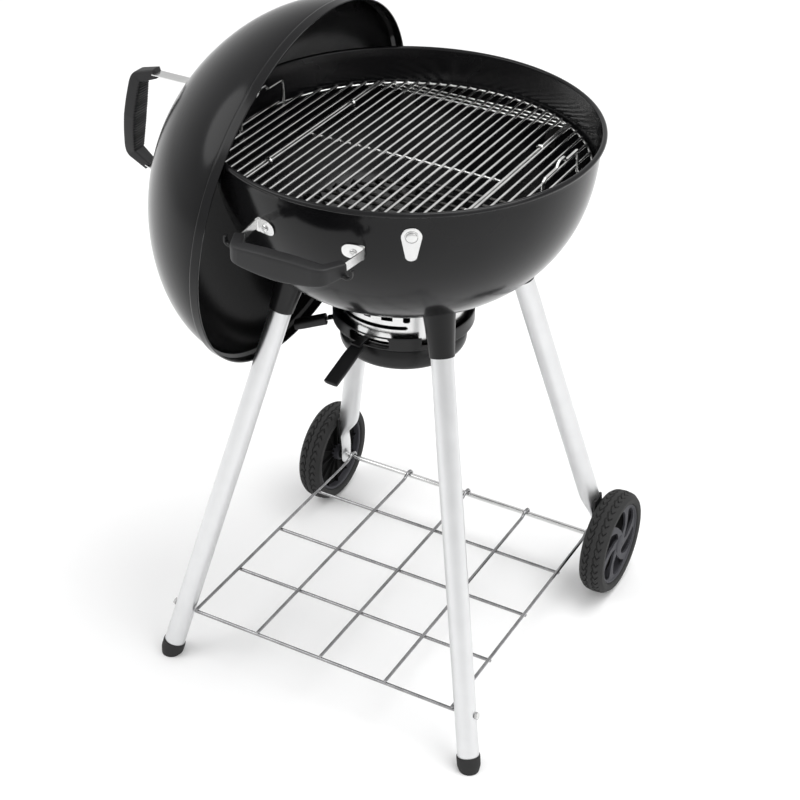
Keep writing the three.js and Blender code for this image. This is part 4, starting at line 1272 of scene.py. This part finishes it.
    def build(self, shop: Workshop) -> None:
        """Makes the tyre, the hub and its cap.

        Args:
            shop: The workshop that makes the pieces.
        """
        body = f"wheel_{self.name}"
        shop.piece(f"tread_{self.name}", self.tyre(), TYRE_RUBBER, body, [f"tyre_{self.name}"], sharp=28)
        h, w = self.hub, self.half
        rim = rounded(
            [
                (h - 4.6, 2), (h - 4.6, w - 6.4), (h - 2.6, w - 3.4), (h - 0.3, w - 3.2), (h, w - 5),
                (h, -w + 5), (h - 0.4, -w + 3.6), (h - 3.4, -w + 3.8), (h - 4.6, -w + 6), (h - 4.6, 2),
            ],
            1.0, 5,
        )
        hub = lathe(rim, 144)
        boss = rounded(
            [
                (4.6, -19), (13.5, -19), (14, -17), (14, 5), (15, 13), (13, 13.4), (4.6, 13.4),
                (4.6, -19),
            ],
            1.0, 5,
        )
        hub.merge(lathe(boss, 72)).moved(self.frame)
        shop.piece(f"hub_rim_{self.name}", hub, HUB_PLASTIC, body, [f"hub_{self.name}"])
        shop.piece(f"hub_spokes_{self.name}", self.spokes(), HUB_PLASTIC, body, wall=4.0, bevel=0.7)
        # The deep wall carries painted shade, darker than the hub plastic it is made of.
        shop.piece(f"hub_web_{self.name}", self.web(), HUB_PAINTED_SHADE, body)
        cap = rounded([(0.01, 20.4), (7, 20.2), (13.5, 19.4), (16.2, 17.6), (16.6, 15.6)], 2.4, 8)
        shop.piece(
            f"cap_{self.name}", lathe(cap, 64).moved(self.frame), HUB_PLASTIC, body,
            [f"hub_cap_{self.name}"], wall=0.3,
        )


@dataclass
class AxleAndShelf:
    """The axle, and the wire shelf that stands on it and on the front legs."""

    legs: Legs
    axle_end: float = 290.0
    axle_radius: float = 4.0
    wire: float = 2.75
    low: float = 87.2
    half_x: float = 234.7
    near: float = -261.6
    far: float = 250.0
    count: int = 5

    def build(self, shop: Workshop) -> None:
        """Makes the axle and the shelf's crossed wires.

        Args:
            shop: The workshop that makes the pieces.
        """
        y, z = self.legs.axle
        rod = wire([(-self.axle_end, y, z), (self.axle_end, y, z)], self.axle_radius, sides=32)
        shop.piece("axle_rod", rod, STEEL, "frame", ["axle"], sharp=50)
        shelf = Shape()
        upper = self.low + 2 * self.wire - 0.7
        over = z + self.axle_radius + 0.3 + self.wire
        rows = np.linspace(self.near, self.far, self.count)
        for i, across in enumerate(rows):
            end = self.half_x + self.wire
            if i == 0:
                end = float(self.legs.at(1, -1, self.low)[0, 0]) - self.legs.radius - 1.2
            if i == self.count - 1:
                end = self.legs.tongue_x - 4.3
            shelf.merge(wire([(-end, across, self.low), (end, across, self.low)], self.wire, sides=16))
        for x in np.linspace(-self.half_x, self.half_x, self.count):
            path = [
                (x, self.near - self.wire, upper), (x, y - 17, upper), (x, y - 6, over), (x, y + 5, over),
                (x, self.far + 3, self.low + 2),
            ]
            shelf.merge(wire(path, self.wire, bend=5, sides=16))
        # The shelf's wires are darkened: painted dark reflection on plated wire.
        shop.piece("shelf_wires", shelf, SHELF_WIRE_PAINTED_REFLECTION, "frame", ["shelf"], sharp=50)


# ---------------------------------------------------------------- hand grips and brackets
def grip_shape() -> Shape:
    """Gives a moulded hand grip in its own frame: X along it, Y its height, Z outwards.

    Its middle line is straight over the front and cranks back at both ends. The half height and
    half depth depend on the distance from the middle, and the section is a rounded box. The side
    towards the wall carries fine ribs, a wave along the grip.

    Returns:
        The grip.
    """
    line = rounded([(-82, -45), (-66, -13), (66, -13), (82, -45)], 5, 12)
    spread = np.concatenate([[0], np.cumsum(np.linalg.norm(np.diff(line, axis=0), axis=1))])
    even = np.linspace(0, spread[-1], 260)
    x = np.interp(even, spread, line[:, 0])
    z = np.interp(even, spread, line[:, 1]) + 1.5 * np.clip(1 - (x / 64) ** 2, 0, 1)
    far = np.abs(x)
    middle = np.interp(far, [0, 50, 90], [-3, -1.5, 1.5])
    tall = smooth([(18.2,), (17.6,), (15.9,), (13.4,), (9.4,)], 200)[:, 0]
    half_a = np.interp(far, np.linspace(0, 84, 200), tall)
    half_b = np.interp(far, [0, 58, 70, 84], [11.6, 11, 9, 7.4])

    def ribs(share: Array, turn: Array) -> Array:
        """Gives the ribs: the wall side's depth falls by an eighth between them, over the front."""
        wave = np.clip(2.4 * np.cos(TAU * share * 46), -1, 1)
        front = np.clip((0.31 - np.abs(share - 0.5)) / 0.02, 0, 1)
        inner = np.clip(-np.sin(turn) * 3, 0, 1)
        return 1 - 0.13 * inner * front * (0.5 - 0.5 * wave)

    path = np.stack([x, middle, z], axis=1)
    return sweep(path, Y, half_a, half_b, power=7.0, sides=72, relief=ribs, round_end=1.6)


def button(radius: float, height: float, recess: float) -> Shape:
    """Gives a domed head with a crossed recess, standing on its own XY plane.

    The height falls with the fourth power of the distance from the middle, and the recess is
    two crossed bars pressed in.

    Args:
        radius: Radius of the head.
        height: Height at its middle.
        recess: Depth of the recess, or 0 for none.

    Returns:
        The head.
    """
    share = np.linspace(0.001, 1, 26)[:, None]
    turn = np.linspace(0, TAU, 96, endpoint=False)[None, :]
    a, b = radius * share * np.cos(turn), radius * share * np.sin(turn)
    dome = height * (1 - 0.55 * share**4) + 0 * turn
    arm = np.minimum(np.abs(a), np.abs(b))
    bar = np.clip((0.16 * radius - arm) / (0.05 * radius), 0, 1) * np.clip((0.55 - share) / 0.06, 0, 1)
    top = np.stack([a, b, dome - recess * bar], axis=-1)
    edge = top[-1].copy()
    edge[:, 2] = 0
    return Shape().grid(np.concatenate([top, edge[None]]), wrap_v=True)


@dataclass
class BowlHandle:
    """The grip on the bowl, its two steel brackets with screws, and the tool hooks at its ends."""

    bowl: Bowl
    out: float = 361.0
    height: float = 838.0
    ear: float = 14.4

    def ear_plate(self, side: int) -> Shape:
        """Gives the rounded plate that lies on the bowl.

        It is a grid of rings and spokes whose outline is a superellipse, bent round the bowl:
        the sideways distance becomes an angle, and the radius is the bowl's own at that height.

        Args:
            side: 1 for the right ear and -1 for the left.

        Returns:
            The plate as an open sheet.
        """
        share = np.linspace(0.001, 1, 14)[:, None]
        turn = np.linspace(0, TAU, 72, endpoint=False)[None, :]
        across = 16.6 * share * np.sign(np.cos(turn)) * np.abs(np.cos(turn)) ** 0.8
        up = 11.6 * share * np.sign(np.sin(turn)) * np.abs(np.sin(turn)) ** 0.8
        z = self.height + 1 + up
        r = self.bowl.outer_r(z) + 1.5
        angle = from_front(side * self.ear + np.degrees(across / 283))
        return Shape().grid(np.stack([r * np.cos(angle), r * np.sin(angle), z], axis=-1), wrap_v=True)

    def build(self, shop: Workshop) -> None:
        """Makes the grip, brackets, screws and hooks.

        Args:
            shop: The workshop that makes the pieces.
        """
        frame = frame_of(X, Z, -Y, (0, -self.out, self.height))
        shop.piece("handle_grip", grip_shape().moved(frame), BLACK_PLASTIC, "frame", ["bowl_grip"])
        for name, side in (("left", -1), ("right", 1)):
            plate = self.ear_plate(side)
            shop.piece(f"ear_plate_{name}", plate, STEEL, "frame", wall=2.0, bevel=0.4)
            r = float(self.bowl.outer_r(self.height)) + 1.6
            root = from_front(side * (self.ear + 0.6))
            turn = from_front(side * (self.ear + 3.6))
            path = rounded(
                [
                    (r * math.cos(root), r * math.sin(root), self.height + 1),
                    (r * math.cos(turn), r * math.sin(turn), self.height + 1),
                    (side * 81.2, -self.out + 41, self.height + 1),
                ],
                9, 10,
            )
            size = np.interp(np.linspace(0, 1, len(path)), [0, 0.4, 0.9, 1], [11, 11, 7, 7])
            arm = sweep(path, Z, size, 1.1, power=8, sides=24)
            shop.piece(f"bracket_arm_{name}", arm, STEEL, "frame", [f"bowl_bracket_{name}"])
            angle = from_front(side * self.ear)
            out = np.array([math.cos(angle), math.sin(angle), 0.0])
            seat = out * (float(self.bowl.outer_r(self.height)) + 3.1) + Z * self.height
            head = button(5, 2.6, 1.1).moved(frame_of(np.cross(Z, out), Z, out, seat))
            shop.piece(f"bracket_screw_{name}", head, STEEL, "frame", [f"bowl_screw_{name}"])
            y = -self.out + 36
            z = self.height - 5
            hook = [(side * 80, y, z), (side * 93, y, z - 3), (side * 99, y, z + 1), (side * 99, y, z + 11)]
            bar = sweep(rounded(hook, 5), Y, 3.6, 2.1, power=4, sides=24, round_end=1.2)
            shop.piece(
                f"utensil_hook_{name}", bar, BLACK_METAL, "frame", [f"tool_hook_{name}"], sharp=50
            )


@dataclass
class ProbeCover:
    """The pear-shaped steel cover that swings aside from the probe's hole."""

    def build(self, shop: Workshop) -> None:
        """Makes the plate and the big round boss, seated by the boxes of the nodes they replace.

        Args:
            shop: The workshop that makes the pieces.
        """
        axis = np.array([*shop.axis, 0.0]) / MM
        low = np.array(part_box("probe_cover")[0]) / MM - axis
        middle = (np.array(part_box("probe_rivet")) / MM - axis).sum(axis=0) / 2
        level = unit(np.array([middle[0], middle[1], 0.0]))
        lean = math.atan2(0.115, 1)
        out = unit(level * math.cos(lean) - Z * math.sin(lean))
        across = unit(np.cross(Z, level))
        up = np.cross(out, across)
        seat = middle - out * 2.6
        frame = frame_of(across, up, out, seat)
        drop = (middle[2] - low[2]) / up[2]
        plate = self.pear(14.3, 8.4, drop - 8.6)
        shop.piece("cover_plate", plate.moved(frame), STEEL, "cover", ["probe_cover"], sharp=50)
        edge = rounded([(9.6, 0), (9.6, 1.1), (8.6, 1.5), (8.2, 1.1), (8.0, 0.4)], 0.3, 4)
        boss = lathe(edge, 64).merge(button(7.7, 3.1, 0.0))
        boss = boss.moved(frame_of(across, up, out, seat + out * 0.9))
        shop.piece("cover_boss", boss, STEEL, "frame", ["probe_rivet"])

    @staticmethod
    def pear(big: float, small: float, drop: float) -> Shape:
        """Gives a flat pear with rounded edges.

        The outline is the line round two circles. The grid scales it from the big circle's
        middle, and the plate's thickness falls off at its edge with the eighth power.

        Args:
            big: Radius of the upper circle, at the origin.
            small: Radius of the lower circle.
            drop: Distance between the circles' middles.

        Returns:
            The plate.
        """
        tilt = math.asin((big - small) / drop)
        upper = np.linspace(-tilt, math.pi + tilt, 60)
        lower = np.linspace(math.pi + tilt, TAU - tilt, 36)
        line = np.vstack(
            [
                np.stack([big * np.cos(upper), big * np.sin(upper)], axis=1),
                np.stack([small * np.cos(lower), small * np.sin(lower) - drop], axis=1),
            ]
        )
        share = np.concatenate([np.linspace(0.001, 0.9, 10), np.linspace(0.92, 1, 8)])[:, None, None]
        flat = share * line[None]
        edge = 0.8 * (1 - np.clip(share[..., 0], 0, 1) ** 30)
        front = np.concatenate([flat, np.broadcast_to(edge[..., None], (*flat.shape[:2], 1))], axis=-1)
        back = front.copy()
        back[..., 2] *= -1
        return Shape().grid(np.concatenate([front, back[::-1]]), wrap_v=True)


# ---------------------------------------------------------------- lid
@dataclass
class Lid:
    """The enamelled lid, hung on the bowl's rim, with its grip, brackets, hook and vent."""

    centre: tuple[float, float, float] = (-168.2, 0.0, 762.0)
    tilt: float = 9.0
    radius: float = 288.2
    skirt: float = 293.5
    skirt_height: float = 15.0
    depth: float = 213.0
    power: float = 1.7
    sheet: float = 2.0
    grip: float = 331.0
    vent_reach: float = 150.0
    vent_radius: float = 42.0
    hole: float = 9.0
    holes: float = 24.0

    @property
    def frame(self) -> Array:
        """Gives the lid's frame: its X up, its Z from the mouth to the pole."""
        t = math.radians(self.tilt)
        out = np.array([-math.cos(t), 0.0, math.sin(t)])
        up = np.array([math.sin(t), 0.0, math.cos(t)])
        return frame_of(up, Y, out, self.centre)

    def shell_z(self, r: Array | float) -> Array:
        """Gives the shell's height above the mouth at a radius, outside."""
        share = np.clip(np.asarray(r, float) / self.radius, 0, 1)
        return self.skirt_height + 3 + self.depth * (1 - share**self.power) ** (1 / self.power)

    def vent_frame(self) -> Array:
        """Gives the vent's frame in the lid's own, on the shell with its Z outwards."""
        base = float(self.shell_z(self.vent_reach))
        far = float(self.shell_z(self.vent_reach + self.vent_radius))
        near = float(self.shell_z(self.vent_reach - self.vent_radius))
        out = unit(np.array([0.0, near - far, 2 * self.vent_radius]))
        return frame_of(X, np.cross(out, X), out, (0, self.vent_reach, base))

    def build(self, shop: Workshop) -> None:
        """Makes the shell, the grip with its brackets, and the vent's disc.

        Args:
            shop: The workshop that makes the pieces.
        """
        self.shell(shop)
        grip_frame = self.frame @ frame_of(X, Y, Z, (0, 0, self.grip))
        shop.piece("lid_hand_grip", grip_shape().moved(grip_frame), BLACK_PLASTIC, "lid", ["lid_grip"])
        for name, side in (("upper", 1), ("lower", -1)):
            foot = float(self.shell_z(78))
            path = rounded(
                [
                    (side * 62, 0, float(self.shell_z(62)) + 1.4), (side * 78, 0, foot + 1.4),
                    (side * 92, 0, float(self.shell_z(92)) + 1.8), (side * 80.5, 0, self.grip - 41),
                ],
                10, 12,
            )
            strip = sweep(path, Y, 10.5, 1.1, power=8, sides=24).moved(self.frame)
            shop.piece(f"lid_strip_{name}", strip, STEEL, "lid", [f"lid_bracket_{name}"])
        self.vent(shop)

    def shell(self, shop: Workshop) -> None:
        """Makes the shell with its skirt, and leaves out the faces of the four vent holes.

        Points near a hole's edge are put on its circle, in the plane of the vent.

        Args:
            shop: The workshop that makes the pieces.
        """
        line = dish(self.radius - 1, self.depth - 1, self.power, 130)
        line[:, 1] += self.skirt_height + 3
        line[0, 0] = 0.05
        step = [
            (self.radius - 1, self.skirt_height + 3), (self.skirt - 1.2, self.skirt_height - 0.5),
            (self.skirt - 1, self.skirt_height - 3), (self.skirt - 1, 3), (self.skirt - 1, 0.6),
        ]
        rows = np.vstack([line[:-1], rounded(step, 2.2, 6)])
        steps = 240
        shape = lathe(rows, steps)
        points = shape.points[0].reshape(len(rows), steps, 3)
        vent = self.vent_frame()
        local = (points - vent[:3, 3]) @ vent[:3, :3]
        size = self.hole + 0.3
        quarters = [i * TAU / 4 for i in range(4)]
        centres = [(self.holes * math.cos(q), self.holes * math.sin(q)) for q in quarters]
        for centre in centres:
            offset = local[..., :2] - centre
            apart = np.linalg.norm(offset, axis=-1)
            edge = (np.abs(apart - size) < 1.8) & (local[..., 2] > -50)
            local[edge, :2] = np.array(centre) + offset[edge] * (size / apart[edge])[:, None]
        points = local @ vent[:3, :3].T + vent[:3, 3]
        mids = (local[:-1] + local[1:]) / 2
        mids = (mids + np.roll(mids, -1, axis=1)) / 2
        keep = np.ones(mids.shape[:2], bool)
        for centre in centres:
            inside = np.linalg.norm(mids[..., :2] - centre, axis=-1) < size - 0.4
            keep &= ~(inside & (mids[..., 2] > -50))
        shape = Shape().grid(points, wrap_v=True, keep=keep).moved(self.frame)
        shop.piece("lid_shell", shape, ENAMEL, "lid", ["lid"], wall=self.sheet)

    def vent(self, shop: Workshop) -> None:
        """Makes the vent's disc with four round holes, its tab and its rivet.

        Each quarter of the disc is a grid from the edge of its hole to the edge of the quarter:
        rays leave the hole's middle, and each ends on the disc's edge or on one of the two
        sides, whichever it meets first.

        Args:
            shop: The workshop that makes the pieces.
        """
        turn = np.linspace(0, TAU, 96, endpoint=False)
        ray = np.stack([np.cos(turn), np.sin(turn)], axis=-1)
        origin = np.array([self.holes, 0.0])
        along = ray @ origin
        reach = -along + np.sqrt(along**2 + self.vent_radius**2 - self.holes**2)
        for sign in (1, -1):
            normal = np.array([math.sin(math.pi / 4), -sign * math.cos(math.pi / 4)])
            speed = ray @ normal
            crosses = np.abs(speed) > 1e-6
            meet = np.where(crosses, -(origin @ normal) / np.where(crosses, speed, 1), np.inf)
            reach = np.where(meet > 0, np.minimum(reach, meet), reach)
        share = np.linspace(0, 1, 12)[:, None]
        span = self.hole + (reach[None] - self.hole) * share
        flat = origin + span[..., None] * ray[None]
        disc = Shape()
        for i in range(4):
            c, s = math.cos(i * TAU / 4), math.sin(i * TAU / 4)
            a = flat[..., 0] * c - flat[..., 1] * s
            b = flat[..., 0] * s + flat[..., 1] * c
            dome = 2.2 - 3.6 * (np.hypot(a, b) / self.vent_radius) ** 2
            disc.grid(np.stack([a, b, dome], axis=-1), wrap_v=True)
        frame = self.frame @ self.vent_frame()
        shop.piece(
            "vent_disc", disc.moved(frame), ALUMINIUM, "lid_vent", ["lid_damper"], wall=1.3, bevel=0.3
        )
        size = self.vent_radius
        line = rounded([(0, size - 9, -0.2), (0, size - 7, 4), (0, size - 6, 13)], 2)
        tab = sweep(line, X, 5, 0.8, power=5, sides=20, round_end=1).moved(frame)
        shop.piece("vent_tab", tab, ALUMINIUM, "lid_vent")
        rivet = button(6, 2.4, 0.0).moved(frame @ frame_of(X, Y, Z, (0, 0, 3.1)))
        shop.piece("vent_rivet", rivet, STEEL, "lid", ["lid_rivet"])


# ---------------------------------------------------------------- kept nodes and studio
def dress_kept_nodes(frame: dict) -> None:
    """Gives their finish to the nodes that keep their own shape, and painted shade to the grate supports.
    """
    kept = {
        "lid_hook": STEEL, "spacer_left": BLACK_PLASTIC, "spacer_right": BLACK_PLASTIC,
        "shelf_bolt_left": STEEL, "shelf_bolt_right": STEEL,
    }
    for place in ("front_left", "front_right", "rear_left", "rear_right"):
        # The steel grate supports are darkened as painted shade.
        kept[f"grate_support_{place}"] = STEEL_PAINTED_SHADE
    for name, finish in kept.items():
        mesh = frame["nodes"][name].data
        mesh.materials.clear()
        mesh.materials.append(finish.material())
        LOG.info("%s keeps its shape", name)


@dataclass
class Studio:
    """A pale floor, soft lights and the camera."""

    axis: tuple[float, float]
    eye: tuple[float, float, float] = (1.16135, -2.13038, 2.00416)
    toward: tuple[float, float, float] = (-0.40264, 0.73540, -0.54504)
    roll: float = 0.6184
    lens: float = 82.2

    def build(self) -> None:
        """Makes the floor, the lights and the camera."""
        self.floor()
        self.lights()
        self.camera()

    def floor(self) -> None:
        """Makes a wide pale floor, a flat grid a little under the feet."""
        run = np.linspace(-40, 40, 3)
        points = np.empty((3, 2, 3))
        points[..., 0] = np.array([-40.0, 40.0])[None]
        points[..., 1] = run[:, None]
        points[..., 2] = -0.0005
        mesh = bpy.data.meshes.new("studio_floor")
        ids = np.arange(len(run) * 2).reshape(-1, 2)
        quads = np.stack([ids[:-1, 0], ids[:-1, 1], ids[1:, 1], ids[1:, 0]], axis=-1)
        mesh.from_pydata(points.reshape(-1, 3).tolist(), [], quads.tolist())
        mesh.shade_smooth()
        floor = bpy.data.objects.new("studio_floor", mesh)
        bpy.context.scene.collection.objects.link(floor)
        paint = bpy.data.materials.new("studio_floor")
        paint.use_nodes = True
        shader = paint.node_tree.nodes["Principled BSDF"]
        shader.inputs["Base Color"].default_value = (0.93, 0.93, 0.93, 1)
        shader.inputs["Roughness"].default_value = 0.9
        shader.inputs["Specular IOR Level"].default_value = 0.1
        mesh.materials.append(paint)

    def lights(self) -> None:
        """Makes a bright room and three broad soft panels, and shows white as white."""
        bpy.context.scene.view_settings.view_transform = "Standard"
        world = bpy.data.worlds.new("studio")
        world.use_nodes = True
        back = world.node_tree.nodes["Background"]
        back.inputs["Color"].default_value = (1, 1, 1, 1)
        back.inputs["Strength"].default_value = 0.78
        bpy.context.scene.world = world
        x, y = self.axis
        panels = [
            ("key", (-2.6, -2.2, 3.6), 60, 3.2),
            ("side", (5.0, -1.0, 4.0), 70, 5.0),
            ("top", (1.2, 0.6, 4.4), 100, 3.2),
        ]
        for name, (px, py, pz), power, size in panels:
            light = bpy.data.lights.new(name, "AREA")
            light.energy = power
            light.shape = "DISK"
            light.size = size
            lamp = bpy.data.objects.new(name, light)
            lamp.location = (x + px, y + py, pz)
            aim = Vector((x, y, 0.6)) - lamp.location
            lamp.rotation_euler = aim.to_track_quat("-Z", "Y").to_euler()
            bpy.context.scene.collection.objects.link(lamp)

    def camera(self) -> None:
        """Sets the camera at its place, level to within its small roll."""
        forward = Vector(self.toward).normalized()
        right = forward.cross(Vector((0, 0, 1))).normalized()
        up = right.cross(forward)
        t = math.radians(self.roll)
        right, up = right * math.cos(t) + up * math.sin(t), up * math.cos(t) - right * math.sin(t)
        turn = Matrix((right, up, -forward)).transposed()
        data = bpy.data.cameras.new("camera")
        data.lens = self.lens
        data.sensor_width = 36.0
        camera = bpy.data.objects.new("camera", data)
        place = Vector((self.axis[0] + self.eye[0], self.axis[1] + self.eye[1], self.eye[2]))
        camera.matrix_world = Matrix.Translation(place) @ turn.to_4x4()
        bpy.context.scene.collection.objects.link(camera)
        bpy.context.scene.camera = camera


def main() -> None:
    """Builds every piece in order, about the axis of the bowl's box."""
    logging.basicConfig(level=logging.INFO, format="%(message)s")
    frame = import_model()
    low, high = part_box("bowl")
    axis = ((low[0] + high[0]) / 2, (low[1] + high[1]) / 2)
    studio = Studio(axis)
    studio.build()
    shop = Workshop(axis)
    bowl = Bowl()
    legs = Legs(bowl)
    parts = [
        bowl, AshCatcher(bowl), VentLever(bowl), CookingGrate(), CharcoalGrate(bowl), legs,
        Wheel(-1), Wheel(1), AxleAndShelf(legs), BowlHandle(bowl), ProbeCover(), Lid(),
    ]
    for part in parts:
        LOG.info("-- %s", type(part).__name__)
        part.build(shop)
    dress_kept_nodes(frame)
    LOG.info("%d pieces made", shop.made)


if __name__ == "__main__":
    main()
